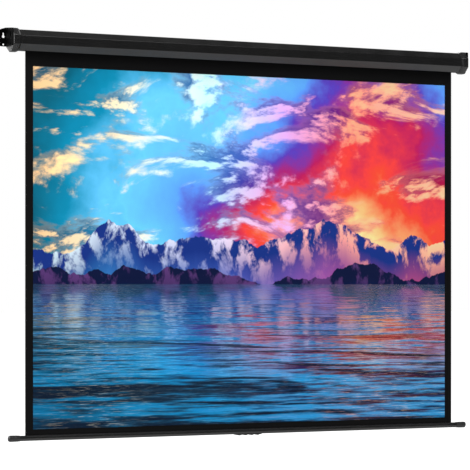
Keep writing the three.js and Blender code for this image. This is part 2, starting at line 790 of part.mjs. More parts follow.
// The grip: a block under and behind the bar, scalloped for the fingers below and at the rear
function pullHandle() {
  const half = handleWidth / 2;
  const bottom = -barHeight - handleBelow;
  const body = block(-half, half, -handleForward, handleBack, bottom, -barHeight + handleRise);
  const barRoom = block(-half - overrun, half + overrun, -barDepth, barDepth / 2 + seatGap,
    -barHeight - seatGap, overrun);
  const tools = [barRoom];
  for (let k = 0; k < fingerCount; k++) {
    const x = (k - (fingerCount - 1) / 2) * fingerPitch;
    tools.push(rodY(fingerRadius, x, -barDepth, handleBack + overrun,
      bottom + underFingerDepth - fingerRadius, 2 * roundSteps));
    tools.push(rodZ(fingerRadius, x, handleBack - rearFingerDepth + fingerRadius,
      bottom - overrun, overrun, 2 * roundSteps));
  }
  for (const x of handleScrewPlaces()) {
    tools.push(rodZ(handleScrewRadius + seatGap, x, 0, bottom - overrun, -barHeight + overrun));
    tools.push(rodZ(handleScrewHeadRadius + seatGap, x, 0, bottom - overrun,
      bottom + handleScrewHead + seatGap));
  }
  return cutBy(body, tools);
}

function handleScrew() {
  const bottom = -barHeight - handleBelow;
  const shoulder = bottom + handleScrewHead;
  const tip = -barHeight + handleScrewInside;
  return turned([[bottom, 0], [bottom, handleScrewHeadRadius], [shoulder, handleScrewHeadRadius],
    [shoulder, handleScrewRadius], [tip, handleScrewRadius], [tip, 0]], smallSteps).rotateY(-Math.PI / 2);
}

function named(name, geometry, finish) {
  const mesh = new THREE.Mesh(geometry, new THREE.MeshStandardMaterial(finish));
  mesh.name = name;
  return mesh;
}

// A named piece, moved to its place
function placed(name, geometry, finish, x, y, z) {
  const mesh = named(name, geometry, finish);
  mesh.position.set(x, y, z);
  return mesh;
}

function housing() {
  const group = new THREE.Group();
  const cap = endCap();
  const bracket = wallBracket();
  group.add(named("case_shell", caseShell(), steelBlack));
  group.add(named("right_end_cap", cap, plasticBlack));
  group.add(named("left_end_cap", mirroredX(cap), plasticBlack));
  group.add(named("right_wall_bracket", bracket, steelBlack));
  group.add(named("left_wall_bracket", mirroredX(bracket), steelBlack));
  const screwX = capOuterX - capScrewInset;
  const [frontY, backY] = capScrewPlaces();
  for (const [side, x] of [["left", -screwX], ["right", screwX]]) {
    group.add(placed(`${side}_cap_screw_front`, capScrew(), steelBlack, x, frontY, 0));
    group.add(placed(`${side}_cap_screw_back`, capScrew(), steelBlack, x, backY, 0));
  }
  const [frontScrewY, backScrewY] = bracketScrewPlaces();
  const screw = bracketScrew();
  for (const [side, body] of [["left", mirroredX(screw)], ["right", screw]]) {
    group.add(placed(`${side}_bracket_screw_front`, body, steelBright, 0, frontScrewY, rollerRise));
    group.add(placed(`${side}_bracket_screw_back`, body, steelBright, 0, backScrewY, rollerRise));
  }
  return group;
}

function spring() {
  const group = new THREE.Group();
  group.add(named("left_saddle_plate", tangSaddle(), steelBright));
  group.add(named("right_saddle_plate", bushSaddle(), steelBright));
  group.add(named("bearing_bush", bearingBush(), acetalWhite));
  group.add(named("spring_spindle", springSpindle(), steelBright));
  group.add(named("spindle_collar", spindleCollar(), acetalWhite));
  group.add(named("torsion_spring", torsionSpring(), steelBright));
  group.add(named("ratchet_disc", ratchetDisc(), steelBright));
  group.add(named("retaining_ring", retainingRing(), steelBright));
  return group;
}

function roller() {
  const group = new THREE.Group();
  group.add(named("roller_tube", rollerTube(), steelBright));
  group.add(named("safety_wraps", safetyWraps(), fabricBlack));
  group.add(named("left_roller_plug", leftRollerPlug(), acetalWhite));
  group.add(named("right_roller_plug", rightRollerPlug(), acetalWhite));
  group.add(named("idle_axle_pin", idleAxlePin(), steelBright));
  for (const [side, turn] of [["upper", 0], ["lower", Math.PI]]) {
    const carrier = new THREE.Group();
    carrier.rotation.x = turn;
    carrier.add(named(`${side}_pawl`, pawl(), steelBright));
    carrier.add(named(`${side}_pawl_pin`, pawlPin(), steelBright));
    group.add(carrier);
  }
  return group;
}

function bar() {
  const group = new THREE.Group();
  const cap = barCap();
  group.add(named("weight_bar", weightBar(), aluminiumBlack));
  group.add(named("hem_rod", hemRod(), acetalWhite));
  group.add(named("right_bar_cap", cap, plasticBlack));
  group.add(named("left_bar_cap", mirroredX(cap), plasticBlack));
  group.add(named("pull_handle", pullHandle(), plasticBlack));
  const [leftX, rightX] = handleScrewPlaces();
  group.add(placed("left_handle_screw", handleScrew(), steelBright, leftX, 0, 0));
  group.add(placed("right_handle_screw", handleScrew(), steelBright, rightX, 0, 0));
  return group;
}

const screen = new THREE.Group();
screen.add(housing());
const onRollerAxis = new THREE.Group();
onRollerAxis.position.set(0, rollerY, rollerRise);
onRollerAxis.add(spring(), roller());
screen.add(onRollerAxis);
screen.add(named("screen_backing", screenBacking(), fabricBlack));
screen.add(named("viewing_surface", viewingSurface(), fabricWhite));
const onBar = bar();
onBar.position.set(0, sheetMidY, barTopZ);
screen.add(onBar);

export default screen;
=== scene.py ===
"""The looks of a manual pull-down projection screen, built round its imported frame.

Lengths are in metres. X runs along the screen to its right end, Y points to the wall and Z points up.
Every new surface is a function of two parameters, worked out on a grid with numpy.
"""

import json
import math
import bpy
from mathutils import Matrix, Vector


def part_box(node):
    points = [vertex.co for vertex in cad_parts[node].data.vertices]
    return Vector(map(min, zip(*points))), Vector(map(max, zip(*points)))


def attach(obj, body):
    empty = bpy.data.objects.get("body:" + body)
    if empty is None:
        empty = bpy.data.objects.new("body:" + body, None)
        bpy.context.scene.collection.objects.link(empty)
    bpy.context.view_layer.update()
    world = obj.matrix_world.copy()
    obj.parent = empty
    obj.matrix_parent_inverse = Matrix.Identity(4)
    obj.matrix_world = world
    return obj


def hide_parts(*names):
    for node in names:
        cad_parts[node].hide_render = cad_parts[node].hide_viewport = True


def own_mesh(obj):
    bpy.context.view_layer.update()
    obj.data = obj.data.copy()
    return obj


bl_info = {
    "name": "Projection Screen Looks",
    "version": (1, 0, 0),
    "blender": (4, 5, 0),
    "location": "3D View > Sidebar > Screen",
    "description": "Builds the finished surfaces of a pull-down projection screen",
    "category": "Object",
}

import bmesh
import bpy
import numpy as np
from bpy.props import FloatProperty, FloatVectorProperty, PointerProperty
from bpy.types import Operator, Panel, PropertyGroup

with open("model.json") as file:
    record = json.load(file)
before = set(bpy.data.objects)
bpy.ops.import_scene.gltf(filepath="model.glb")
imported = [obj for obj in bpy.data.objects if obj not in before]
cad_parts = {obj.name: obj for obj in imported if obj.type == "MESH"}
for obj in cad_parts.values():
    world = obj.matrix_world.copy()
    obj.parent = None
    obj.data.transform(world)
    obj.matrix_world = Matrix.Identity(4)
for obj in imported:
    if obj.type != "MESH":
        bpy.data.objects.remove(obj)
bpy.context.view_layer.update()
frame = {"nodes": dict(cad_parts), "record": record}

X, Y, Z = range(3)  # a point's parts by number
SEAT_GAP = 0.0003  # between two pieces where one fits in the other
OVERRUN = 0.005  # how far a cutting shape runs past what it cuts
WELD = 1e-7  # points closer than this become one
ROUND_STEPS = 48  # points round a hole
ARC_STEPS = 8  # points along a bend
SHARP_ANGLE = math.radians(32)  # edges sharper than this are shaded as edges
BEVEL_ANGLE = math.radians(40)  # and stamped ones sharper than this are rounded


def span(node):
    """Lowest and highest corner of a CAD piece."""
    low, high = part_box(node)
    return np.array(low), np.array(high)


def middle_of(node):
    return np.mean(span(node), axis=0)


def head_radius(node, axis):
    """Half the width of a CAD screw, across its axis."""
    low, high = span(node)
    across = (axis + 1) % 3
    return (high[across] - low[across]) / 2


CASE_LOW, CASE_HIGH = span("case_shell")
CAP_LOW, CAP_HIGH = span("right_end_cap")
SHEET_LOW, SHEET_HIGH = span("screen_backing")
COAT_LOW, COAT_HIGH = span("viewing_surface")
BAR_LOW, BAR_HIGH = span("weight_bar")
HANDLE_LOW, HANDLE_HIGH = span("pull_handle")
BODIES = frame["record"]["behaviour"]["bodies"]
BODY_OF = {node: body for body, nodes in BODIES.items() for node in nodes}


# Sizes and colours

def length(name, words, default):
    return FloatProperty(name=name, description=words, default=default, unit="LENGTH", precision=4)


def share(name, words, default):
    return FloatProperty(name=name, description=words, default=default, min=0, max=1, subtype="FACTOR")


def colour(name, words, default):
    return FloatVectorProperty(name=name, description=words, default=default, size=3, min=0, max=1,
                               subtype="COLOR")


class CaseSizes(PropertyGroup):
    wall: length("Sheet", "Thickness of the case's steel sheet", 0.0012)
    flat_height: length("Upright flats", "Height of the flats at the front and the back", 0.030)
    upper_run: length("Upper facets", "Depth taken by each upper facet", 0.018)
    front_lower_run: length("Lower front facet", "Depth taken by the lower front facet", 0.023)
    back_lower_run: length("Lower back facet", "Depth taken by the lower back facet", 0.033)
    bend_radius: length("Bends", "Outer radius of the bends between the facets", 0.0030)
    slot_width: length("Slot", "Width of the slot that the fabric hangs through", 0.011)
    slot_lead: length("Slot lead", "How far the slot's middle stands in front of the fabric", 0.0012)
    lip_height: length("Slot lips", "Height of the turned-up edges of the slot", 0.004)
    lip_radius: length("Lip bends", "Outer radius of the bends at the slot", 0.0017)


class CapSizes(PropertyGroup):
    plate: length("Plate", "Thickness of the end caps' outer plate", 0.003)
    proud: length("Skirt", "How far the skirt stands out round the case", 0.005)
    thin_proud: length("Thin edge", "How far the skirt's inner edge stands out", 0.0012)
    taper: length("Taper", "Length of the skirt's sloping edge", 0.008)
    edge: length("Outer edge", "Radius of the edge round the outer face", 0.0025)
    groove_inset: length("Groove place", "From the outer face to the middle of the groove", 0.017)
    groove_width: length("Groove width", "Width of the shallow groove", 0.0045)
    groove_depth: length("Groove depth", "Depth of the shallow groove", 0.0008)
    screw_head: length("Screw seat", "Depth of the seats of the cap screws", 0.0022)
    dimple_radius: length("Dimple", "Radius of the dimple low on the outer face", 0.0026)
    dimple_depth: length("Dimple depth", "Depth of that dimple", 0.0012)


class BracketSizes(PropertyGroup):
    plate: length("Plate", "Thickness of the bracket's steel", 0.002)
    corner: length("Corners", "Radius of the flanges' free corners", 0.006)
    inner_bend: length("Bend", "Inner radius of the bend between the flanges", 0.0007)
    edge: length("Edges", "Rounding of the stamped edges", 0.00035)
    keyhole_radius: length("Keyhole", "Radius of the keyhole's round part", 0.0049)
    keyhole_drop: length("Keyhole place", "From the bracket's top to the keyhole's round part", 0.032)
    slot_width: length("Keyhole slot", "Width of the keyhole's slot", 0.005)
    slot_rise: length("Keyhole rise", "From the round part's centre to the slot's top centre", 0.011)
    hole_radius: length("Lower hole", "Radius of the hole under the keyhole", 0.0032)
    hole_drop: length("Lower hole place", "From the bracket's top to the lower hole", 0.060)
    wall_inset: length("Wall holes", "From the cap to the hole centres on the wall flange", 0.0095)
    side_inset: length("Side holes", "From the wall to the hole centres on the side flange", 0.0515)
    wall_fall: length("Wall flange fall", "How far the wall flange's top edge falls from the bend", 0.007)
    side_fall: length("Side flange fall", "How far the side flange's top edge falls from the bend", 0.007)


class BarSizes(PropertyGroup):
    chamfer_run: length("Chamfer depth", "Depth of the sloping edges at the back", 0.003)
    chamfer_drop: length("Chamfer height", "Height of the sloping edges at the back", 0.0035)
    front_run: length("Front slopes", "Depth taken by the front's slopes over and under the groove", 0.0036)
    corner: length("Corners", "Radius of the extrusion's corners", 0.0011)
    slot_width: length("Slot", "Width of the slot for the fabric", 0.0024)
    lip: length("Slot lips", "Metal over the hem channel", 0.0016)
    channel: length("Hem channel", "Width and height of the channel for the hem rod", 0.0062)
    chamber_width: length("Chamber width", "Width of the hollow under the hem channel", 0.0084)
    chamber_height: length("Chamber height", "Height of the hollow under the hem channel", 0.0064)
    chamber_floor: length("Chamber floor", "Metal under the hollow", 0.0017)
    groove_top: length("Groove place", "From the bar's top to the groove", 0.0048)
    groove_height: length("Groove height", "Height of the groove in the front", 0.0056)
    groove_depth: length("Groove depth", "Depth of the groove in the front", 0.0032)
    groove_slope: length("Groove slopes", "Height of the groove's sloping sides", 0.0003)
    cap_proud: length("Cap swell", "How far the end caps swell round the bar", 0.0018)
    cap_thin: length("Cap mouth", "How far the caps stand out at the mouth", 0.0009)
    cap_taper: length("Cap taper", "Length over which the caps swell", 0.016)
    cap_nose: length("Cap tip", "Length of the caps' rounded tips", 0.0085)
    cap_ring_inset: length("Cap ring place", "From the tip to the ring groove", 0.025)
    cap_ring_width: length("Cap ring width", "Width of the ring groove", 0.0022)
    cap_ring_depth: length("Cap ring depth", "Depth of the ring groove", 0.0007)


class HandleSizes(PropertyGroup):
    finger_pitch: length("Finger pitch", "Distance between two finger scallops", 0.025)
    finger_radius: length("Finger radius", "Radius of the scallops", 0.0169)
    under_depth: length("Scallops below", "Depth of the scallops under the grip", 0.0026)
    rear_depth: length("Scallops behind", "Depth of the scallops at the grip's back", 0.0034)
    corner: length("Corners", "Radius of the grip's corners", 0.0013)
    blend: length("Softness", "Softness of the scallops' edges", 0.0004)
    screw_head: length("Screw seat", "Depth of the seats of the handle screws", 0.0018)


class Colours(PropertyGroup):
    case_paint: colour("Case paint", "Powder coat on the case", (0.0040, 0.0040, 0.0041))
    bracket_paint: colour("Bracket paint", "Paint on the wall brackets", (0.0012, 0.0012, 0.0013))
    cap_plastic: colour("Cap plastic", "Moulded plastic of the end caps", (0.0042, 0.0042, 0.0044))
    bar_finish: colour("Bar finish", "Satin paint of the weight bar", (0.0080, 0.0080, 0.0083))
    bar_cap_plastic: colour("Bar cap plastic", "Plastic of the bar's end caps", (0.0055, 0.0055, 0.0058))
    handle_plastic: colour("Handle plastic", "Plastic of the pull handle", (0.0020, 0.0020, 0.0021))
    fabric: colour("Fabric", "Black masking and back of the screen", (0.0066, 0.0066, 0.0068))
    coat: colour("Viewing coat", "Matt white viewing surface", (0.87, 0.87, 0.855))
    steel: colour("Zinc plating", "Zinc plated steel inside the case", (0.62, 0.63, 0.65))
    spring: colour("Spring steel", "Oiled spring wire", (0.16, 0.155, 0.15))
    acetal: colour("Acetal", "Natural acetal of plugs and bush", (0.70, 0.69, 0.64))
    black_screw: colour("Black screws", "Blackened screws", (0.008, 0.008, 0.008))


# The picture is painted light: a projector's light, painted into the white coat's colour
class Picture(PropertyGroup):
    strength: share("Picture", "How much of the picture shows on the white coat; 0 leaves it bare", 1.0)
    skyline: share("Skyline", "Height of the far shore", 0.40)
    contrast: FloatProperty(name="Contrast", description="Power that the picture's colours are raised to",
                            default=1.2, min=0.2, max=3)
    gain: FloatProperty(name="Gain", description="What the picture's colours are multiplied by after that",
                        default=1.45, min=0.1, max=4)


class StageSizes(PropertyGroup):
    floor_z: length("Floor", "Height of the floor", -1.65)
    floor_size: length("Floor size", "Side of the square floor", 120)
    ambient: FloatProperty(name="Ambient light", description="Even light from all round", default=0.28,
                           min=0)
    key: FloatProperty(name="Key light", description="Strength of the soft light in front", default=690,
                       min=0)


# Outlines

def cross(a, b):
    return a[..., 0] * b[..., 1] - a[..., 1] * b[..., 0]


def unit(vectors):
    return vectors / np.linalg.norm(vectors, axis=-1, keepdims=True)


def moved_out(corners, distances):
    """An anticlockwise outline with each edge moved outwards. Its corners are where moved edges cross."""
    corners = np.asarray(corners, float)
    edge = unit(np.roll(corners, -1, axis=0) - corners)
    outward = np.stack([edge[:, 1], -edge[:, 0]], -1)
    origin = corners + outward * np.broadcast_to(distances, len(corners))[:, None]
    before, before_origin = np.roll(edge, 1, axis=0), np.roll(origin, 1, axis=0)
    along = cross(origin - before_origin, edge) / cross(before, edge)
    return before_origin + before * along[:, None]


def rounded(corners, radii, closed=True, steps=ARC_STEPS):
    """An outline with an arc at each corner. The arc starts radius * tan(turn / 2) before the corner and
    goes on by radius * (sin t * heading + (1 - cos t) * side), with t from 0 to the turn."""
    corners = np.asarray(corners, float)
    radii = np.broadcast_to(radii, len(corners))[:, None]
    heading = unit(corners - np.roll(corners, 1, axis=0))
    leaving = unit(np.roll(corners, -1, axis=0) - corners)
    turn = np.arctan2(cross(heading, leaving), (heading * leaving).sum(-1))
    side = np.stack([-heading[:, 1], heading[:, 0]], -1) * np.sign(turn)[:, None]
    t = (np.abs(turn)[:, None] * np.linspace(0, 1, steps))[..., None]
    start = corners - heading * radii * np.tan(np.abs(turn) / 2)[:, None]
    sweep = np.sin(t) * heading[:, None] + (1 - np.cos(t)) * side[:, None]
    arcs = start[:, None] + radii[:, None] * sweep
    if closed:
        return arcs.reshape(-1, 2)
    return np.concatenate([corners[:1], arcs[1:-1].reshape(-1, 2), corners[-1:]])


def smooth_step(t):
    """3 t^2 - 2 t^3 between 0 and 1."""
    t = np.clip(t, 0, 1)
    return t * t * (3 - 2 * t)


def quarter(steps=ARC_STEPS):
    """Sines and cosines from 0 to 90 degrees."""
    angle = np.linspace(0, math.pi / 2, steps)
    return np.sin(angle), np.cos(angle)


# Bodies: each is a pair of points and faces

def quads(rows, columns, joined=False):
    """The faces between neighbouring points of a grid. Its last column meets its first if joined."""
    row = np.arange(rows - 1)[:, None]
    column = np.arange(columns if joined else columns - 1)[None, :]
    after = (column + 1) % columns
    corners = [row * columns + column, row * columns + after,
               (row + 1) * columns + after, (row + 1) * columns + column]
    return np.stack(corners, -1).reshape(-1, 4)


def along_x(x, outline):
    """An outline in Y and Z placed at x."""
    return np.column_stack([np.full(len(outline), x), outline])


def loft(rings):
    """A closed body through closed rings of equal count, with a flat face on the first and on the last."""
    rings = np.asarray(rings, float)
    rows, columns = rings.shape[:2]
    faces = quads(rows, columns, joined=True).tolist()
    faces.append(list(range(columns)))
    faces.append(list(range((rows - 1) * columns, rows * columns)))
    return rings.reshape(-1, 3), faces


def folded_sheet(outer, inner, x0, x1):
    """A bent sheet along X between an outer and an inner line of equal count, with strips at its ends."""
    count = len(outer)
    section = np.concatenate([outer, inner[::-1]])
    points = np.concatenate([along_x(x0, section), along_x(x1, section)])
    faces = quads(2, 2 * count, joined=True).tolist()
    near = np.arange(count - 1)
    far = 2 * count - 1 - near
    strip = np.stack([near, near + 1, far - 1, far], -1)
    return points, faces + strip.tolist() + (strip + 2 * count).tolist()


def rod(axis, centre, radius, low, high, steps=ROUND_STEPS):
    """A cylinder: centre + radius * (cos a, sin a) on the two axes across it, from low to high along it."""
    angle = np.linspace(0, 2 * math.pi, steps, endpoint=False)
    first, second = [k for k in (X, Y, Z) if k != axis]
    rings = np.zeros((2, steps, 3))
    rings[..., first] = centre[first] + radius * np.cos(angle)
    rings[..., second] = centre[second] + radius * np.sin(angle)
    rings[0, :, axis] = low
    rings[1, :, axis] = high
    return loft(rings)


def brick(low, high):
    """A plain box, for cutting."""
    outline = np.array([(low[1], low[2]), (high[1], low[2]), (high[1], high[2]), (low[1], high[2])])
    return loft([along_x(low[0], outline), along_x(high[0], outline)])


def mirrored(body):
    """The body on the other side of the plane X = 0."""
    points, faces = body
    return points * (-1, 1, 1), faces


def built_mesh(name, body):
    """A mesh with its doubled points merged and its faces pointing outwards."""
    points, faces = body
    mesh = bpy.data.meshes.new(name)
    mesh.from_pydata(points.tolist(), [], [list(face) for face in faces])
    shape = bmesh.new()
    shape.from_mesh(mesh)
    bmesh.ops.remove_doubles(shape, verts=shape.verts, dist=WELD)
    bmesh.ops.dissolve_degenerate(shape, edges=shape.edges, dist=WELD)
    bmesh.ops.recalc_face_normals(shape, faces=shape.faces)
    shape.to_mesh(mesh)
    shape.free()
    return mesh


def new_object(name, data):
    made = bpy.data.objects.new(name, data)
    bpy.context.scene.collection.objects.link(made)
    return made


def new_piece(name, body):
    return new_object(name, built_mesh(name, body))


def apply_modifiers(piece):
    """Makes the piece's mesh what its modifiers give."""
    graph = bpy.context.evaluated_depsgraph_get()
    mesh = bpy.data.meshes.new_from_object(piece.evaluated_get(graph))
    piece.modifiers.clear()
    piece.data = mesh


def take_out(piece, cutters):
    """Cuts each closed body out of the piece."""
    for body in cutters:
        cutter = new_piece("cutter", body)
        cut = piece.modifiers.new("cut", "BOOLEAN")
        cut.operation = "DIFFERENCE"
        cut.solver = "EXACT"
        cut.object = cutter
        apply_modifiers(piece)
        bpy.data.objects.remove(cutter, do_unlink=True)


def piece_of(name, body, node, finish, cutters=(), edge=0.0):
    """A finished piece that stands for a CAD node: built, cut, rounded at its edges and set on a body."""
    piece = new_piece(name, body)
    take_out(piece, cutters)
    if edge:
        bevel = piece.modifiers.new("edges", "BEVEL")
        bevel.width = edge
        bevel.segments = 2
        bevel.limit_method = "ANGLE"
        bevel.angle_limit = BEVEL_ANGLE
        bevel.use_clamp_overlap = True
        apply_modifiers(piece)
    return finished(piece, node, finish)


def finished(piece, node, finish):
    """Gives a piece its finish and even shading, and puts it in its node's place."""
    mesh = piece.data
    mesh.materials.clear()
    mesh.materials.append(finish)
    mesh.shade_smooth()
    mesh.set_sharp_from_angle(angle=SHARP_ANGLE)
    shading = piece.modifiers.new("even_shading", "WEIGHTED_NORMAL")
    shading.keep_sharp = True
    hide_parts(node)
    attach(piece, BODY_OF[node])
    return piece


def both_ends(name, body, node, finish, cutters=(), edge=0.0):
    """The same piece at the right-hand end and, mirrored, at the left-hand end."""
    piece_of(f"right_{name}", body, f"right_{node}", finish, cutters, edge)
    other_cutters = [mirrored(cutter) for cutter in cutters]
    piece_of(f"left_{name}", mirrored(body), f"left_{node}", finish, other_cutters, edge)


# Node materials

PEEL_HEIGHT = 0.00002  # of the powder coat's orange peel
GRAIN_HEIGHT = 0.00003  # of the moulded plastic's pits
GRAIN_SCALE = 2300.0  # pits in a metre
DRAWN_HEIGHT = 0.000006  # of the lines on the weight bar
SCRATCH_HEIGHT = 0.000008
THREAD_PITCH = 0.0007  # between two threads of the screen's cloth


def tinted(base, factor):
    return tuple(part * factor for part in base)


def rgba(value):
    """A colour with its alpha. A socket stays as it is."""
    return (*value, 1) if isinstance(value, tuple) else value


class Finish:
    """A material's nodes, added one at a time. A value that is a socket is linked, and any other is set."""

    def __init__(self, name, tree=None):
        if tree is None:
            self.material = bpy.data.materials.new(name)
            self.material.use_nodes = True
            tree = self.material.node_tree
        self.tree = tree
        tree.nodes.clear()

    def node(self, kind, inputs=None, **settings):
        """Adds a node. Its settings come first, because they can change its inputs."""
        node = self.tree.nodes.new(kind)
        for name, value in settings.items():
            setattr(node, name, value)
        for key, value in (inputs or {}).items():
            socket = node.inputs[key]
            if isinstance(value, bpy.types.NodeSocket):
                self.tree.links.new(value, socket)
            else:
                socket.default_value = value
        return node

    def add(self, kind, inputs=None, **settings):
        """Adds a node and gives its first output."""
        return self.node(kind, inputs, **settings).outputs[0]

    def math(self, operation, *values):
        return self.add("ShaderNodeMath", dict(enumerate(values)), operation=operation)

    def folded(self, operation, values):
        """The operation on the first two values, then on what that gives and the third, and so on."""
        result = values[0]
        for value in values[1:]:
            result = self.math(operation, result, value)
        return result

    def times(self, *values):
        return self.folded("MULTIPLY", values)

    def plus(self, *values):
        return self.folded("ADD", values)

    def minus(self, *values):
        return self.folded("SUBTRACT", values)

    def largest(self, *values):
        return self.folded("MAXIMUM", values)

    def noise(self, vector, scale, detail=2.0, roughness=0.5, distortion=0.0, dimensions="3D"):
        return self.add("ShaderNodeTexNoise", {"Vector": vector, "Scale": scale, "Detail": detail,
                                               "Roughness": roughness, "Distortion": distortion},
                        noise_dimensions=dimensions)

    def flat_noise(self, point, scale, detail, roughness, distortion=0.0):
        return self.noise(point, scale, detail, roughness, distortion, "2D")

    def range(self, value, low, high, to_low=0.0, to_high=1.0, smooth=False):
        """What lies between low and high is carried over to lie between to_low and to_high."""
        return self.add("ShaderNodeMapRange", {0: value, 1: low, 2: high, 3: to_low, 4: to_high},
                        interpolation_type="SMOOTHSTEP" if smooth else "LINEAR")

    def between(self, value, low, high, edge):
        """1 from low to high, fading to 0 over an edge on both sides."""
        return self.times(self.range(value, low - edge, low), self.range(value, high + edge, high))

    def uneven(self, noise, low, high):
        """A roughness from low to high that follows a noise, most of which lies between 0.3 and 0.7."""
        return self.range(noise, 0.3, 0.7, low, high)

    def blend(self, factor, a, b):
        """A mix of two colours, which are the node's inputs 6 and 7."""
        node = self.node("ShaderNodeMix", {0: factor, 6: rgba(a), 7: rgba(b)}, data_type="RGBA")
        return node.outputs[2]

    def ramp(self, value, stops):
        """A colour ramp through (place, colour) pairs."""
        node = self.node("ShaderNodeValToRGB", {0: value})
        while len(node.color_ramp.elements) < len(stops):
            node.color_ramp.elements.new(1.0)
        for element, (place, shade) in zip(node.color_ramp.elements, stops):
            element.position = place
            element.color = rgba(shade)
        return node.outputs[0]

    def stretched(self, vector, scale, turn=0.0, move=(0, 0, 0)):
        return self.add("ShaderNodeMapping", {"Vector": vector, "Location": move, "Rotation": (0, 0, turn),
                                              "Scale": scale})

    def bump(self, height, distance, strength=1.0):
        return self.add("ShaderNodeBump", {"Height": height, "Distance": distance, "Strength": strength})

    def place(self):
        return self.node("ShaderNodeTexCoord").outputs["Object"]

    def map(self, name):
        return self.add("ShaderNodeUVMap", uv_map=name)

    def parts(self, vector):
        return self.node("ShaderNodeSeparateXYZ", {0: vector}).outputs

    def joined(self, x, y):
        return self.add("ShaderNodeCombineXYZ", {0: x, 1: y})

    def surface(self, shade, gloss, normal, constants):
        """Ends the material with one principled shader. Constants are set on the shader's own sockets."""
        shader = self.add("ShaderNodeBsdfPrincipled", {"Base Color": shade, "Roughness": gloss,
                                                       "Normal": normal, **constants})
        self.node("ShaderNodeOutputMaterial", {0: shader})
        return self.material


def mottled(finish, vector, base, amount, scale):
    """A colour that varies softly by amount, over patches of 1 / scale metres."""
    patches = finish.noise(vector, scale, detail=4.0, roughness=0.6)
    return finish.blend(patches, tinted(base, 1 - amount), tinted(base, 1 + amount))


def powder_coat(name, base, rough, shine):
    """Satin powder coat: a fine orange peel, soft patches in gloss and a sparse speckle."""
    finish = Finish(name)
    place = finish.place()
    shade = mottled(finish, place, base, amount=0.12, scale=9.0)
    speckle = finish.range(finish.noise(place, 2600.0, detail=1.0), 0.60, 0.72)
    shade = finish.blend(finish.times(speckle, 0.35), shade, tinted(base, 4))
    gloss = finish.uneven(finish.noise(place, 14.0, detail=5.0), rough - 0.04, rough + 0.05)
    peel = finish.noise(place, 620.0, detail=2.0, roughness=0.45)
    return finish.surface(shade, gloss, finish.bump(peel, PEEL_HEIGHT), {"Specular IOR Level": shine})


def moulded_plastic(name, base, rough):
    """Moulded plastic: a spark-eroded grain of rounded pits, with soft flow marks in its gloss."""
    finish = Finish(name)
    place = finish.place()
    shade = mottled(finish, place, base, amount=0.08, scale=22.0)
    pits = finish.add("ShaderNodeTexVoronoi", {"Vector": place, "Scale": GRAIN_SCALE}, feature="SMOOTH_F1")
    fine = finish.noise(place, GRAIN_SCALE * 1.7, detail=2.0)
    gloss = finish.uneven(finish.noise(place, 30.0, detail=3.0), rough - 0.03, rough + 0.05)
    height = finish.plus(pits, finish.times(fine, 0.5))
    return finish.surface(shade, gloss, finish.bump(height, GRAIN_HEIGHT, 0.8), {"IOR": 1.52})


def drawn_aluminium(name, base, rough, groove):
    """Black painted extrusion: fine lines drawn along X show through, in height and in gloss. In the groove,
    between two places in Y and two in Z, the paint is matt and its colour is darkened as painted shade."""
    finish = Finish(name)
    place = finish.place()
    _, y, z = finish.parts(place)
    (front, back), (bottom, top) = groove
    # the groove's mask: matt paint there, and painted shade that darkens its colour
    inside = finish.times(finish.between(y, front, back, 0.0004), finish.between(z, bottom, top, 0.0003))
    lines = finish.noise(finish.stretched(place, (2.5, 2600.0, 2600.0)), 1.0, detail=3.0, roughness=0.7)
    shade = finish.blend(lines, tinted(base, 0.85), tinted(base, 1.2))
    shade = finish.blend(finish.noise(place, 6.0, detail=3.0), shade, tinted(base, 1.15))
    # painted shade: the groove's colour is darkened to a tenth, standing in for the shade in the recess
    shade = finish.blend(inside, shade, tinted(base, 0.1))
    gloss = finish.range(lines, 0.25, 0.75, rough - 0.05, rough + 0.06)
    gloss = finish.largest(gloss, finish.times(inside, 0.9))
    return finish.surface(shade, gloss, finish.bump(lines, DRAWN_HEIGHT), {"Specular IOR Level": 0.6})


def plated_steel(name, base, rough, scale=1.0):
    """Zinc plate or drawn wire: a cloudy tint and fine scratches in all directions."""
    finish = Finish(name)
    place = finish.place()
    shade = mottled(finish, place, base, amount=0.15, scale=60.0 * scale)
    scratches = finish.noise(finish.stretched(place, (900.0, 60.0, 900.0), turn=0.6), 1.0, detail=5.0)
    gloss = finish.uneven(scratches, rough - 0.06, rough + 0.12)
    return finish.surface(shade, gloss, finish.bump(scratches, SCRATCH_HEIGHT), {"Metallic": 1.0})


def natural_acetal(name, base):
    """Natural acetal: milky, with faint turning rings."""
    finish = Finish(name)
    place = finish.place()
    shade = mottled(finish, place, base, amount=0.05, scale=40.0)
    rings = finish.noise(finish.stretched(place, (1800.0, 30.0, 30.0)), 1.0, detail=2.0)
    return finish.surface(shade, finish.uneven(rings, 0.38, 0.52), finish.bump(rings, SCRATCH_HEIGHT),
                          {"Subsurface Weight": 0.1, "Subsurface Scale": 0.002})


def woven_height(finish, cloth):
    """A plain weave: sin(pi u / pitch) * sin(pi v / pitch) gives the over and under of square threads."""
    u, v, _ = finish.parts(cloth)
    return finish.times(*[finish.math("SINE", finish.times(way, math.pi / THREAD_PITCH)) for way in (u, v)])


def black_cloth(name, base):
    """Black coated cloth: its weave shows faintly through, and its coating is patchy in gloss."""
    finish = Finish(name)
    cloth = finish.map("cloth")
    shade = mottled(finish, cloth, base, amount=0.10, scale=7.0)
    weave = woven_height(finish, cloth)
    shade = finish.blend(finish.range(weave, -1.0, 1.0), shade, tinted(base, 1.35))
    gloss = finish.uneven(finish.noise(cloth, 11.0, detail=4.0), 0.66, 0.76)
    return finish.surface(shade, gloss, finish.bump(weave, 0.00003, 0.6), {"Specular IOR Level": 0.0})


# The picture on the viewing surface: a mountain lake at dusk, a generic design, painted into the coat's
# colour as projected light

ASPECT = 1.333  # the picture's width over its height
SUN = (0.80, 0.50)  # where the light comes from, across and up the picture
BRIGHTEST = 0.95  # what no colour of the picture goes above
SHORE_SHARE = 0.0015  # over and under the skyline, how much of the height the shore's soft edge takes
CREST_SHARE = 0.0010  # and that of a mountain

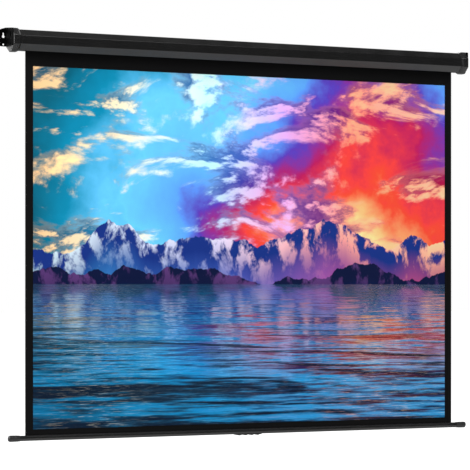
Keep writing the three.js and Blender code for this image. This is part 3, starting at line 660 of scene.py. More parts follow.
CREAM = (1.000, 0.800, 0.520)
AMBER = (1.000, 0.620, 0.300)
PEACH = (1.000, 0.440, 0.200)
EMBER = (0.800, 0.085, 0.045)
MAGENTA = (0.420, 0.018, 0.120)
PURPLE = (0.110, 0.060, 0.420)
AZURE = (0.120, 0.340, 0.780)
PALE_BLUE = (0.150, 0.520, 0.800)
TEAL = (0.004, 0.240, 0.380)
DARK_TEAL = (0.003, 0.120, 0.180)
BLUE_WATER = (0.003, 0.300, 0.560)
DEEP_WATER = (0.0006, 0.0110, 0.0300)

# Colours at places on the rings round the sun
SKY = [(0.04, CREAM), (0.11, AMBER), (0.19, PEACH), (0.28, EMBER), (0.37, MAGENTA), (0.46, PURPLE),
       (0.54, AZURE), (0.68, PALE_BLUE), (0.82, TEAL), (1.0, DARK_TEAL)]

# Colours at places across the picture
CLOUD_LIGHT = [(0.0, AMBER), (0.20, (1.0, 0.80, 0.50)), (0.40, (0.55, 0.86, 1.0)),
               (0.58, (0.80, 0.45, 0.80)), (0.75, (1.0, 0.40, 0.24)), (1.0, (1.0, 0.62, 0.36))]
CLOUD_SHADE = [(0.0, (0.002, 0.075, 0.130)), (0.30, (0.004, 0.150, 0.330)), (0.52, (0.060, 0.050, 0.330)),
               (0.75, (0.150, 0.012, 0.160)), (1.0, (0.330, 0.010, 0.055))]
HAZE = [(0.0, (0.020, 0.240, 0.420)), (0.45, (0.090, 0.150, 0.520)), (0.75, (0.420, 0.100, 0.300)),
        (1.0, (0.560, 0.090, 0.160))]
ROCK_LIGHT = [(0.0, (0.50, 0.62, 0.66)), (0.4, (0.60, 0.60, 0.78)), (0.7, (1.0, 0.42, 0.34)),
              (1.0, (1.0, 0.52, 0.30))]
GLINT_LIGHT = [(0.0, CREAM), (0.45, (0.5, 0.8, 1.0)), (0.7, (1.0, 0.50, 0.40)), (1.0, CREAM)]

# How many of the glints show, at places across the picture
GLINT_SHARES = [(0.0, 0.15), (0.14, 0.75), (0.30, 0.15), (0.62, 0.25), (0.80, 1.0), (0.96, 0.4)]

HIGH_CLOUD = {"stretch": (1.5, 3.4, 1.0), "turn": 0.30, "move": (2.2, 0.7, 0), "sunward": (0.04, -0.05),
              "scale": 1.9, "detail": 10.0, "roughness": 0.60, "distortion": 0.35}
LOW_CLOUD = {"stretch": (1.0, 1.75, 1.0), "turn": 0.12, "move": (6.4, 3.1, 0), "sunward": (0.045, -0.075),
             "scale": 2.3, "detail": 12.0, "roughness": 0.58, "distortion": 0.15}
ROCK = {"stretch": (1.7, 1.0, 1.0), "turn": -0.55, "sunward": (0.045, 0.02),
        "scale": 7.0, "detail": 12.0, "roughness": 0.62, "distortion": 0.2}
SWELL = {"stretch": (0.42, 1.9, 1.0), "turn": 0.18, "move": (3.0, 1.0, 0), "sunward": (0.03, 0.10),
         "scale": 1.15, "detail": 7.0, "roughness": 0.58, "distortion": 0.3}


def relief(finish, point, stretch, turn, move, sunward, scale, detail, roughness, distortion):
    """Fractal noise, and how brightly its slopes are lit: noise(p) - noise(p + a step towards the sun)."""
    stepped = (move[0] + sunward[0], move[1] + sunward[1], 0)
    places = [finish.stretched(point, stretch, turn, place) for place in (move, stepped)]
    here, nearer = [finish.flat_noise(place, scale, detail, roughness, distortion) for place in places]
    return here, finish.minus(here, nearer)


def cloud_layer(finish, sky, point, shape, cover, opacity, light, shade):
    """Cloud where the noise passes the cover, lit on the slopes that face the sun and thin at its edges."""
    body, slope = relief(finish, point, **shape)
    lit = finish.range(slope, -0.030, 0.075, smooth=True)
    density = finish.range(body, cover, cover + 0.10, smooth=True)
    edge = finish.range(body, cover + 0.02, cover + 0.13, 0.40, 0.0)
    colour = finish.blend(finish.largest(lit, edge), shade, light)
    return finish.blend(finish.times(density, opacity), sky, colour)


def evening_sky(finish, across, up):
    """Colours in rings round the sun, which noise bends, and two layers of cloud. A ring's number is
    sqrt((1.25 x)^2 + (0.95 y)^2), with x and y counted from the sun."""
    point = finish.joined(finish.times(across, ASPECT), up)
    aside = finish.times(finish.minus(across, SUN[0]), 1.25)
    above = finish.times(finish.minus(up, SUN[1]), 0.95)
    ring = finish.math("SQRT", finish.plus(finish.times(aside, aside), finish.times(above, above)))
    bend = finish.minus(finish.flat_noise(point, 2.1, detail=6.0, roughness=0.55), 0.5)
    sky = finish.ramp(finish.plus(ring, finish.times(bend, 0.55)), SKY)
    light = finish.ramp(across, CLOUD_LIGHT)
    shade = finish.ramp(across, CLOUD_SHADE)
    sky = cloud_layer(finish, sky, point, HIGH_CLOUD, 0.50, 0.75, light, shade)
    return cloud_layer(finish, sky, point, LOW_CLOUD, 0.53, 0.95, light, shade)


def mountain_range(finish, picture, across, up, height, rise, scale, seed, colours):
    """Lays a range over the picture wherever up is below height + rise * (noise(across * scale) - 1/2). Its
    colours are those of the haze at its foot, of its shaded and of its lit slopes."""
    haze, shaded, light = colours
    line = finish.add("ShaderNodeTexNoise", {"W": finish.plus(across, seed), "Scale": scale, "Detail": 11.0,
                                             "Roughness": 0.55}, noise_dimensions="1D")
    crest = finish.math("MULTIPLY_ADD", finish.minus(line, 0.5), rise, height)
    depth = finish.minus(crest, up)
    point = finish.joined(finish.times(across, ASPECT), up)
    slope = relief(finish, point, move=(seed, 0, 0), **ROCK)[1]
    lit = finish.times(finish.range(slope, -0.02, 0.10), finish.range(depth, 0.11, 0.0, 0.3, 1.0))
    rock = finish.blend(lit, shaded, light)
    rock = finish.blend(finish.range(depth, 0.04, 0.17, 0.0, 0.85), rock, haze)
    return finish.blend(finish.range(depth, -CREST_SHARE, CREST_SHARE), picture, rock)


def far_view(finish, across, up, skyline):
    """Sky, a high range of mountains and a low dark one before it."""
    high = finish.ramp(across, HAZE), (0.012, 0.040, 0.210), finish.ramp(across, ROCK_LIGHT)
    low = (0.006, 0.028, 0.120), (0.0015, 0.0080, 0.0450), (0.110, 0.050, 0.170)
    view = evening_sky(finish, across, up)
    view = mountain_range(finish, view, across, up, skyline + 0.13, 0.36, 2.3, 7.7, high)
    return mountain_range(finish, view, across, up, skyline + 0.035, 0.20, 3.6, 12.9, low)


def glinting(finish, picture, water, across, below):
    """Small glints on the picture's water, in the colours of the clouds above."""
    sparkle = finish.flat_noise(finish.stretched(water, (6.0, 34.0, 1.0), turn=0.04), 1.4, 4.0, 0.7)
    share_there = finish.ramp(across, [(place, (part,) * 3) for place, part in GLINT_SHARES])
    glint = finish.times(finish.range(sparkle, 0.56, 0.70), share_there,
                         finish.range(below, 0.0, 0.30, 0.9, 0.45))
    return finish.blend(glint, picture, finish.ramp(across, GLINT_LIGHT))


def lake(finish, across, up, skyline):
    """The far view mirrored about the skyline, shaken by ripples and darker towards the viewer's left. The
    ripples are noise over (across, 1) / (distance below the skyline), so they shrink towards the shore."""
    below = finish.largest(finish.minus(skyline, up), 0.0)
    far = finish.math("DIVIDE", 1.0, finish.plus(below, 0.035))
    water = finish.joined(finish.times(finish.minus(across, 0.45), far), far)
    swell, lee = relief(finish, water, **SWELL)
    ripple = finish.flat_noise(finish.stretched(water, (1.7, 9.0, 1.0), turn=0.05), 1.6, 5.0, 0.6)
    ripple = finish.minus(ripple, 0.5)
    shake = finish.plus(finish.minus(swell, 0.5), finish.times(ripple, 0.8))

    reach = finish.range(below, 0.0, 0.20, 0.02, 0.75)
    mirrored_up = finish.plus(below, skyline, finish.times(shake, reach))
    mirrored_across = finish.math("MULTIPLY_ADD", ripple, 0.05, across)
    picture = far_view(finish, mirrored_across, finish.largest(mirrored_up, skyline), skyline)

    trough = finish.range(finish.plus(shake, 0.5), 0.38, 0.66, smooth=True)
    through = finish.blend(trough, BLUE_WATER, DEEP_WATER)
    picture = finish.blend(finish.range(below, 0.0, 0.28, 0.15, 0.90), picture, through)
    lee = finish.times(finish.range(lee, 0.01, 0.09), finish.range(below, 0.02, 0.20, 0.0, 0.9))
    picture = finish.blend(lee, picture, DEEP_WATER)
    corner = finish.plus(finish.times(below, 1.6), finish.times(across, -0.75), finish.times(shake, 0.9))
    corner = finish.range(corner, -0.15, 0.80, 0.0, 0.92, smooth=True)
    picture = finish.blend(corner, picture, DEEP_WATER)
    return glinting(finish, picture, water, across, below)


def viewing_coat(name, base, picture):
    """Matt white coat over a very fine weave, with the picture painted into its colour as projected light.
    The picture's colours are raised to its contrast, multiplied by its gain and kept under the brightest."""
    finish = Finish(name)
    cloth = finish.map("cloth")
    across, up, _ = finish.parts(finish.map("picture"))
    skyline = picture.skyline
    shore = finish.range(up, skyline - SHORE_SHARE, skyline + SHORE_SHARE)
    scene = finish.blend(shore, lake(finish, across, up, skyline), far_view(finish, across, up, skyline))
    scene = finish.add("ShaderNodeGamma", {0: scene, 1: picture.contrast})
    for operation, value in (("MULTIPLY", picture.gain), ("MINIMUM", BRIGHTEST)):
        scene = finish.add("ShaderNodeVectorMath", {0: scene, 1: (value,) * 3}, operation=operation)
    # painted light: the projected picture is mixed into the white coat's colour by its strength
    coat = finish.blend(picture.strength, tuple(base), scene)
    gloss = finish.uneven(finish.noise(cloth, 9.0, detail=3.0), 0.80, 0.88)
    weave = finish.bump(woven_height(finish, cloth), 0.00002, 0.35)
    return finish.surface(coat, gloss, weave, {"Specular IOR Level": 0.2})


# Pieces

BACK_EDGE = 2  # the case's flat back, among the edges from each of its corners to the next
DIMPLE = (-0.054, -0.031)  # Y and Z of the dimple on the end caps' outer faces

CAP_SCREW_RADIUS, CAP_SCREW_PITCH = 0.0017, 0.0012
BRACKET_SCREW_RADIUS, BRACKET_SCREW_PITCH, BRACKET_SCREW_HEAD = 0.0020, 0.0007, 0.0025
HANDLE_SCREW_RADIUS, HANDLE_SCREW_PITCH = 0.0015, 0.0010
SCREW_STEPS = 36  # points round a screw
THREAD_STEPS = 6  # points along one turn of its thread
HEAD_RINGS = np.linspace(0.02, 0.90, 18)[:, None]  # where its top has points, as shares of its radius
CROSS_REACH, CROSS_HALF_WIDTH = 0.62, 0.13  # shares of the head's radius
CROSS_DEPTH, CROWN, RIM_EDGE = 0.75, 0.12, 0.38  # shares of the head's height
THREAD_DEPTH, POINT_LENGTH, POINT_RADIUS, BLUNT_RADIUS = 0.22, 2.2, 0.04, 0.7  # shares of the shank's radius

BAR_CAP_CORNER = 0.0012  # corner radius of the bar's caps where they meet the bar
BAR_CAP_CORNER_GROWTH = 1.6  # what it gains for each metre that they swell
NOSE_POWER = 2.2  # how blunt the tips of the bar's caps are
MATT_AND_SHADE_FROM = 0.0007  # behind the bar's front, where the paint in its groove is fully matt and darkened as painted shade
MATT_AND_SHADE_PAST = 0.0003  # past the groove's floor, where it still is
INTO_CHAMBER = 0.0005  # how far the handle's screw holes run into the bar's chamber

# For the six corners of the handle's outline and the edges after them, from its lower front one
GRIP_CORNER_SHARES = np.array([0.8, 1.6, 1.0, 0.5, 0.3, 0.5])  # of the corner radius
GRIP_EDGES_MOVED = np.array([1, 1, 1, 0, 0, 1])  # all but the two against the bar
GRIP_STEPS = 163  # places along it

WRAP_TURNS = 1.03
TUBE_GAP = 0.00005  # between the roller tube and the fabric on it
WRAP_GAP = 0.00003  # between two turns of the fabric

SPRING_RADIUS = 0.0096  # to the middle of the wire
SPRING_WIRE_RADIUS = 0.0009
SPRING_CURLS = 28


def case_corners(sizes):
    """The case's eight corners in Y and Z, anticlockwise from the lower front one."""
    front, back, bottom, top = CASE_LOW[1], CASE_HIGH[1], CASE_LOW[2], CASE_HIGH[2]
    half = sizes.flat_height / 2
    return np.array([
        (front + sizes.front_lower_run, bottom),
        (back - sizes.back_lower_run, bottom),
        (back, -half),
        (back, half),
        (back - sizes.upper_run, top),
        (front + sizes.upper_run, top),
        (front, half),
        (front, -half),
    ])


def case_sheet(sizes):
    """The bent sheet: its outer line runs from the slot's back lip round the case to its front lip, and its
    inner line is the same one moved in by the sheet's thickness."""
    corners = case_corners(sizes)
    bottom = CASE_LOW[2]
    lip_top = bottom + sizes.lip_height
    middle = (SHEET_LOW[1] + SHEET_HIGH[1]) / 2 - sizes.slot_lead
    back_lip, front_lip = middle + sizes.slot_width / 2, middle - sizes.slot_width / 2
    line = np.array([(back_lip, lip_top), (back_lip, bottom), *corners[1:], corners[0],
                     (front_lip, bottom), (front_lip, lip_top)])
    radii = np.full(len(line), sizes.bend_radius)
    radii[[1, -2]] = sizes.lip_radius
    inwards = np.full(len(line), -sizes.wall)
    inwards[-1] = 0
    outer = rounded(line, radii, closed=False)
    inner = rounded(moved_out(line, inwards), radii - sizes.wall, closed=False)
    return folded_sheet(outer, inner, CASE_LOW[0], CASE_HIGH[0])


def screw_holes(nodes, axis, radius, low, high):
    """Round holes on the axes of some screws, from low to high."""
    return [rod(axis, middle_of(node), radius + SEAT_GAP, low, high) for node in nodes]


def mouth_rows(mouth, lip):
    """Rows of (x, how far out) half round the lip at a cap's mouth."""
    angle = np.linspace(0, math.pi, ARC_STEPS)
    return np.column_stack([mouth + lip * (1 - np.sin(angle)), SEAT_GAP + lip * (1 - np.cos(angle))])


def groove_rows(middle, width, depth, out):
    """Rows of (x, how far out) across a groove: out - depth * (1 + cos(pi s)) / 2, with s from -1 to 1."""
    s = np.linspace(-1, 1, 9)
    return np.column_stack([middle + s * width / 2, out - depth * (1 + np.cos(math.pi * s)) / 2])


def skirt_rows(sizes):
    """Rows of (x, how far out) down the end cap's surface: the inside, round the mouth, up the taper, over
    the groove and round the outer edge. The taper rises with 0.55 t + 0.45 (3 t^2 - 2 t^3)."""
    mouth, outer = CAP_LOW[0], CAP_HIGH[0]
    lip = (sizes.thin_proud - SEAT_GAP) / 2
    inside = np.array([(outer - sizes.plate, SEAT_GAP)])
    t = np.linspace(0, 1, 12)[1:]
    swell = sizes.thin_proud + (sizes.proud - sizes.thin_proud) * (0.55 * t + 0.45 * smooth_step(t))
    taper = np.column_stack([mouth + lip + (sizes.taper - lip) * t, swell])
    groove = groove_rows(outer - sizes.groove_inset, sizes.groove_width, sizes.groove_depth, sizes.proud)
    sine, cosine = quarter()
    edge = np.column_stack([outer - sizes.edge * (1 - sine), sizes.proud - sizes.edge * (1 - cosine)])
    return np.concatenate([inside, mouth_rows(mouth, lip), taper, groove, edge])


def end_cap(sizes, case):
    """The right-hand cap: the case's outline moved out row by row, open at the back and closed at its end
    by a plate. Each row runs from the flat back's upper corner round the case to its lower corner."""
    corners = case_corners(case)
    rows = []
    for x, proud in skirt_rows(sizes):
        distances = np.full(len(corners), proud)
        distances[BACK_EDGE] = 0
        outline = np.roll(moved_out(corners, distances), -BACK_EDGE - 1, axis=0)
        rows.append(along_x(x, rounded(outline, case.bend_radius + proud, closed=False)))
    rows = np.array(rows)
    count, columns = rows.shape[:2]
    faces = quads(count, columns).tolist()
    faces.append(list(range(columns)))
    faces.append(list(range((count - 1) * columns, count * columns)))
    top_edge = [row * columns for row in range(count)]
    bottom_edge = [row * columns + columns - 1 for row in reversed(range(count))]
    faces.append(top_edge + bottom_edge)
    return rows.reshape(-1, 3), faces


def flange_holes(sizes, axis, centre, low, high):
    """A keyhole with its slot upwards and a round hole below it, as closed bodies across a flange."""
    other = X if axis == Y else Y
    top = span("right_wall_bracket")[1][2]
    half = sizes.slot_width / 2
    spread = math.asin(half / sizes.keyhole_radius)
    key_z = top - sizes.keyhole_drop
    below = np.linspace(math.pi / 2 + spread, 2.5 * math.pi - spread, ROUND_STEPS)
    above = np.linspace(0, math.pi, ROUND_STEPS // 2)
    outline = np.concatenate([
        sizes.keyhole_radius * np.column_stack([np.cos(below), np.sin(below)]) + (0, key_z),
        half * np.column_stack([np.cos(above), np.sin(above)]) + (0, key_z + sizes.slot_rise)])
    rings = np.zeros((2, len(outline), 3))
    rings[..., other] = centre + outline[:, 0]
    rings[..., Z] = outline[:, 1]
    rings[0, :, axis] = low
    rings[1, :, axis] = high
    middle = np.zeros(3)
    middle[other] = centre
    middle[Z] = top - sizes.hole_drop
    return [loft(rings), rod(axis, middle, sizes.hole_radius, low, high)]


def wall_bracket(sizes):
    """The right-hand bracket: a bent strip whose height shrinks by r - sqrt(r^2 - (r - d)^2) at a distance d
    from its free ends, and whose top edge falls from the bend."""
    low, high = span("right_wall_bracket")
    inner_x, outer_x, front, back = low[0], high[0], low[1], high[1]
    bend = sizes.inner_bend + sizes.plate
    outside = rounded([(inner_x, front), (inner_x, back), (outer_x, back)], bend, closed=False)
    inside = rounded([(inner_x + sizes.plate, front), (inner_x + sizes.plate, back - sizes.plate),
                      (outer_x, back - sizes.plate)], sizes.inner_bend, closed=False)
    sine, cosine = quarter(steps=10)
    steps = sizes.corner * (1 - cosine)
    insets = sizes.corner * (1 - sine)

    def ring(outer_point, inner_point, inset):
        fall = (sizes.wall_fall * (outer_point[0] - inner_x) / (outer_x - inner_x)
                + sizes.side_fall * (back - outer_point[1]) / (back - front))
        bottom, top = low[2] + inset, high[2] - fall - inset
        return [(*outer_point, bottom), (*outer_point, top), (*inner_point, top), (*inner_point, bottom)]

    def free_end(end, toward, inner_end):
        direction = unit(toward - end)
        return [ring(end + direction * step, inner_end + direction * step, inset)
                for step, inset in zip(steps, insets)]

    start = free_end(outside[0], outside[1], inside[0])
    middle = [ring(a, b, 0) for a, b in zip(outside[1:-1], inside[1:-1])]
    finish = free_end(outside[-1], outside[-2], inside[-1])[::-1]
    return loft(start + middle + finish)


def bracket_cutters(sizes):
    """The holes in both flanges, and the threads for the two screws that hold the bracket."""
    inner_x = span("right_wall_bracket")[0][0]
    wall = flange_holes(sizes, Y, inner_x + sizes.wall_inset, -OVERRUN, OVERRUN)
    side = flange_holes(sizes, X, -sizes.side_inset, inner_x - OVERRUN, inner_x + OVERRUN)
    nodes = ["right_bracket_screw_front", "right_bracket_screw_back"]
    return wall + side + screw_holes(nodes, X, BRACKET_SCREW_RADIUS, inner_x - OVERRUN, inner_x + OVERRUN)


def screw(wide, head, shank, length, pitch, pointed):
    """A screw with its head's top at 0 and its shank down to -length; wide and shank are their radii. The
    head's top sinks by a cross, which is deep where min(|x|, |y|) is small and less so outwards. The
    thread's radius falls with a saw of turns + height / pitch, and towards a point."""
    angle = np.linspace(0, 2 * math.pi, SCREW_STEPS, endpoint=False)
    even = np.ones(SCREW_STEPS)
    reach, half_width, depth = CROSS_REACH * wide, CROSS_HALF_WIDTH * wide, CROSS_DEPTH * head
    radii = wide * HEAD_RINGS
    x, y = np.abs(radii * np.cos(angle)), np.abs(radii * np.sin(angle))
    arm = smooth_step((1.5 * half_width - np.minimum(x, y)) / half_width)
    sunk = depth * arm * smooth_step(1.3 * (1 - np.maximum(x, y) / reach))
    crown = CROWN * head * (radii / wide) ** 2
    rim = np.array([(wide, -RIM_EDGE * head), (wide, -head), (shank, -head)])
    z = np.arange(-head - pitch / THREAD_STEPS, -length, -pitch / THREAD_STEPS)[:, None]
    saw = np.abs(((angle / (2 * math.pi) + z / pitch) % 1) * 2 - 1)
    taper = np.clip((z + length) / (POINT_LENGTH * shank), POINT_RADIUS, 1) if pointed else 1
    thread = shank * (1 - THREAD_DEPTH * saw) * taper
    tip = (POINT_RADIUS if pointed else BLUNT_RADIUS) * shank
    radius = np.concatenate([radii * even, rim[:, :1] * even, thread, [tip * even]])
    height = np.concatenate([-sunk - crown, rim[:, 1:] * even, z * even, [-length * even]])
    return loft(np.stack([radius * np.cos(angle), radius * np.sin(angle), height], -1))


def screw_for(node, axis, toward, shank, head, pitch, pointed):
    """A screw in its CAD node's place. Its head faces up the axis where toward is 1, and down it where
    toward is -1."""
    low, high = span(node)
    middle = middle_of(node)
    first, second = [k for k in (X, Y, Z) if k != axis]
    points, faces = screw(head_radius(node, axis), head, shank, high[axis] - low[axis], pitch, pointed)
    placed = np.zeros_like(points)
    placed[:, first] = middle[first] + toward * points[:, 0]
    placed[:, second] = middle[second] + points[:, 1]
    placed[:, axis] = (high if toward > 0 else low)[axis] + toward * points[:, 2]
    return placed, faces


def bar_corners(sizes):
    """The bar's outline in Y and Z, anticlockwise from its lower front. Its last two points are the edges
    of the groove, from which the front slopes back to the bar's top and bottom."""
    front, back, bottom, top = BAR_LOW[1], BAR_HIGH[1], BAR_LOW[2], BAR_HIGH[2]
    run, drop, slope = sizes.chamfer_run, sizes.chamfer_drop, sizes.front_run
    groove_top = top - sizes.groove_top
    return np.array([(front + slope, bottom), (back - run, bottom), (back, bottom + drop),
                     (back, top - drop), (back - run, top), (front + slope, top),
                     (front, groove_top), (front, groove_top - sizes.groove_height)])


def bar_section(sizes):
    """The extrusion's outline, down into the hem channel at the top and into the groove at the front."""
    outline = bar_corners(sizes)
    front, top = BAR_LOW[1], BAR_HIGH[2]
    middle = (BAR_LOW[1] + BAR_HIGH[1]) / 2
    slot, channel = sizes.slot_width / 2, sizes.channel / 2
    lip, floor = top - sizes.lip, top - sizes.lip - sizes.channel
    (_, groove_top), (_, groove_bottom) = outline[6:]
    inner = front + sizes.groove_depth
    points = [*outline[:5], (middle + slot, top), (middle + slot, lip), (middle + channel, lip),
              (middle + channel, floor), (middle - channel, floor), (middle - channel, lip),
              (middle - slot, lip), (middle - slot, top), outline[5], outline[6],
              (inner, groove_top - sizes.groove_slope), (inner, groove_bottom + sizes.groove_slope),
              outline[7]]
    fine = 0.3 * sizes.corner
    radii = np.array([sizes.corner] * 5 + [fine] * 8 + [sizes.corner] + [fine] * 4)
    return rounded(points, radii)


def bar_cap(sizes):
    """The right-hand cap: the bar's outline moved out row by row, from the bottom of its socket round the
    mouth and out to a swelling with a ring groove. Its tip shrinks with (1 - s^p)^(1 / p)."""
    low, high = span("right_bar_cap")
    mouth, tip = low[0], high[0]
    lip = (sizes.cap_thin - SEAT_GAP) / 2
    socket = np.array([(BAR_HIGH[0] + SEAT_GAP, SEAT_GAP)])
    t = np.linspace(0, 1, 16)[1:]
    swell = sizes.cap_thin + (sizes.cap_proud - sizes.cap_thin) * smooth_step(t)
    taper = np.column_stack([mouth + lip + (sizes.cap_taper - lip) * t, swell])
    ring = groove_rows(tip - sizes.cap_ring_inset, sizes.cap_ring_width, sizes.cap_ring_depth,
                       sizes.cap_proud)
    corners = bar_corners(sizes)

    def outline(proud):
        return rounded(moved_out(corners, proud), BAR_CAP_CORNER + BAR_CAP_CORNER_GROWTH * proud)

    rows = np.concatenate([socket, mouth_rows(mouth, lip), taper, ring])
    body = [along_x(x, outline(proud)) for x, proud in rows]
    full = outline(sizes.cap_proud)
    centre = full.mean(axis=0)
    s = quarter(steps=14)[0]
    shrink = (1 - s ** NOSE_POWER).clip(0.0001) ** (1 / NOSE_POWER)
    nose = [along_x(tip - sizes.cap_nose * (1 - place), centre + (full - centre) * size)
            for place, size in zip(s, shrink)]
    return loft(body + nose)


def scallop(x, depth, sizes):
    """Depth of the finger scallops along x: the deepest of their circles at each place, softened to
    blend * log(1 + exp(depth / blend))."""
    count = round((HANDLE_HIGH[0] - HANDLE_LOW[0]) / sizes.finger_pitch) + 1
    centres = (np.arange(count) - (count - 1) / 2) * sizes.finger_pitch
    away = np.clip(np.abs(x[:, None] - centres), 0, sizes.finger_radius)
    circles = depth - (sizes.finger_radius - np.sqrt(sizes.finger_radius ** 2 - away ** 2))
    return sizes.blend * np.log1p(np.exp(circles.max(axis=1) / sizes.blend))


def grip(sizes):
    """The pull handle: an L under and behind the bar. The scallops draw in its underside and its back, and
    its ends are rounded by moving the outline in."""
    bar_bottom, bar_back = BAR_LOW[2] - SEAT_GAP, BAR_HIGH[1] + SEAT_GAP
    front, back, bottom, top = HANDLE_LOW[1], HANDLE_HIGH[1], HANDLE_LOW[2], HANDLE_HIGH[2]
    half = HANDLE_HIGH[0]
    sine, cosine = quarter(steps=7)
    end = half - sizes.corner * (1 - sine)
    end_inset = sizes.corner * (1 - cosine)
    between = np.linspace(-half + sizes.corner, half - sizes.corner, GRIP_STEPS)[1:-1]
    x = np.concatenate([-end[::-1], between, end])
    inset = np.concatenate([end_inset[::-1], np.zeros(len(between)), end_inset])
    lows = bottom + scallop(x, sizes.under_depth, sizes)
    backs = back - scallop(x, sizes.rear_depth, sizes)
    rings = []
    for place, low, behind, shrink in zip(x, lows, backs, inset):
        outline = [(front, low), (behind, low), (behind, top), (bar_back, top), (bar_back, bar_bottom),
                   (front, bar_bottom)]
        distances = -0.98 * shrink * GRIP_EDGES_MOVED
        radii = GRIP_CORNER_SHARES * (0.9 * sizes.corner - 0.5 * shrink)
        rings.append(along_x(place, rounded(moved_out(outline, distances), radii, steps=6)))
    return loft(rings)


def wound_sheet(turns):
    """The safety wraps, and their flat length: a spiral round the roller's axis, whose radius grows by the
    fabric's thickness and a gap with each turn."""
    low, high = span("safety_wraps")
    axis = middle_of("safety_wraps")
    thickness = SHEET_HIGH[1] - SHEET_LOW[1]
    start = span("roller_tube")[1][2] - axis[2] + TUBE_GAP
    angle = np.linspace(0, 2 * math.pi * turns, 120)
    radius = start + (thickness + WRAP_GAP) * angle / (2 * math.pi)

    def line(extra):
        return np.column_stack([axis[1] + (radius + extra) * np.cos(angle),
                                axis[2] + (radius + extra) * np.sin(angle)])

    body = folded_sheet(line(thickness), line(0), low[0], high[0])
    return body, float(np.hypot(*np.diff(line(thickness / 2), axis=0).T).sum())


def flat_cloth(low, high, rows, columns):
    """A thin upright sheet of cloth: x and z on a grid for its front, the same for its back, and a rim."""
    x = np.linspace(low[0], high[0], columns)
    z = np.linspace(high[2], low[2], rows)
    across, down = np.meshgrid(x, z)
    front, back = [np.stack([across, np.full_like(across, y), down], -1) for y in (low[1], high[1])]
    grid = quads(rows, columns)
    count = rows * columns
    number = np.arange(count).reshape(rows, columns)
    rim = np.concatenate([number[0], number[1:, -1], number[-1, -2::-1], number[-2:0:-1, 0]])
    after = np.roll(rim, -1)
    edges = np.stack([rim, after, after + count, rim + count], -1)
    points = np.concatenate([front.reshape(-1, 3), back.reshape(-1, 3)])
    return points, grid.tolist() + (grid + count).tolist() + edges.tolist()


def coil(steps_per_curl, sides):
    """The torsion spring: a round wire whose middle runs evenly along X while its angle turns."""
    low, high = span("torsion_spring")
    axis = middle_of("torsion_spring")
    wire = SPRING_WIRE_RADIUS
    t = np.linspace(0, 1, SPRING_CURLS * steps_per_curl + 1)[:, None]
    turn = 2 * math.pi * SPRING_CURLS * t
    side = np.linspace(0, 2 * math.pi, sides, endpoint=False)
    x = low[0] + wire + (high[0] - low[0] - 2 * wire) * t - wire * np.sin(side)
    reach = SPRING_RADIUS + wire * np.cos(side)
    return loft(np.stack([x, axis[1] + reach * np.cos(turn), axis[2] + reach * np.sin(turn)], -1))


# Maps for the cloth's patterns

def face_corners(mesh):
    """The place of each face's corners, in the order in which the mesh keeps them."""
    points = np.empty(len(mesh.vertices) * 3)
    mesh.vertices.foreach_get("co", points)
    corners = np.empty(len(mesh.loops), int)
    mesh.loops.foreach_get("vertex_index", corners)
    return points.reshape(-1, 3)[corners]


def add_map(mesh, name, flat):
    layer = mesh.uv_layers.new(name=name)
    layer.data.foreach_set("uv", flat.astype(np.float32).ravel())


def lay_map(piece, name, origin, scale):
    """A UV map that lies flat on the sheet: u = (x - origin) * scale across, v likewise upwards."""
    add_map(piece.data, name, (face_corners(piece.data)[:, [X, Z]] - origin) * scale)


def wind_map(piece, name):
    """A UV map on the wound fabric: u = x and v = the way round the roller, both in metres."""
    x, y, z = (face_corners(piece.data) - middle_of("roller_tube")).T
    around = np.arctan2(z, y) * np.hypot(y, z)
    add_map(piece.data, name, np.stack([x, around], -1))


# What the operators share

def dress(nodes, finish):
    """Gives CAD nodes a finish."""
    for node in nodes:
        for slot in frame["nodes"][node].material_slots:
            slot.material = finish


def build_case(sizes, colours):
    """Lays the bent sheet round the case, with its holes for the cap screws."""
    paint = powder_coat("case_powder_coat", colours.case_paint, 0.22, shine=0.55)
    top = CASE_HIGH[2]
    cap_screws = [f"{side}_cap_screw_{place}" for side in ("left", "right") for place in ("front", "back")]
    holes = screw_holes(cap_screws, Z, CAP_SCREW_RADIUS, top - OVERRUN, top + OVERRUN)
    piece_of("case_sheet", case_sheet(sizes), "case_shell", paint, holes)
    dress(["case_shell"], paint)


def build_caps(sizes, case, colours):
    """Moulds both end caps, with seats for the cap screws and holes for the bracket screws."""
    plastic = moulded_plastic("end_cap_plastic", colours.cap_plastic, 0.26)
    top, outer = CAP_HIGH[2], CAP_HIGH[0]
    cutters = []
    for place in ("front", "back"):
        cap_screw, bracket_screw = f"right_cap_screw_{place}", f"right_bracket_screw_{place}"
        cutters += screw_holes([cap_screw], Z, CAP_SCREW_RADIUS, CASE_HIGH[2] - OVERRUN, top + OVERRUN)
        cutters += screw_holes([cap_screw], Z, head_radius(cap_screw, Z), top - sizes.screw_head - SEAT_GAP,
                               top + OVERRUN)
        cutters += screw_holes([bracket_screw], X, BRACKET_SCREW_RADIUS, outer - sizes.plate - OVERRUN,
                               outer + OVERRUN)
    cutters.append(rod(X, (0, *DIMPLE), sizes.dimple_radius, outer - sizes.dimple_depth, outer + OVERRUN))
    both_ends("case_cap", end_cap(sizes, case), "end_cap", plastic, cutters)
    dress(["left_end_cap", "right_end_cap"], plastic)


def build_brackets(sizes, colours):
    """Bends both wall brackets and cuts their holes."""
    paint = powder_coat("bracket_powder_coat", colours.bracket_paint, 0.42, shine=0.01)
    both_ends("bracket", wall_bracket(sizes), "wall_bracket", paint, bracket_cutters(sizes),
              sizes.edge)
    dress(["left_wall_bracket", "right_wall_bracket"], paint)


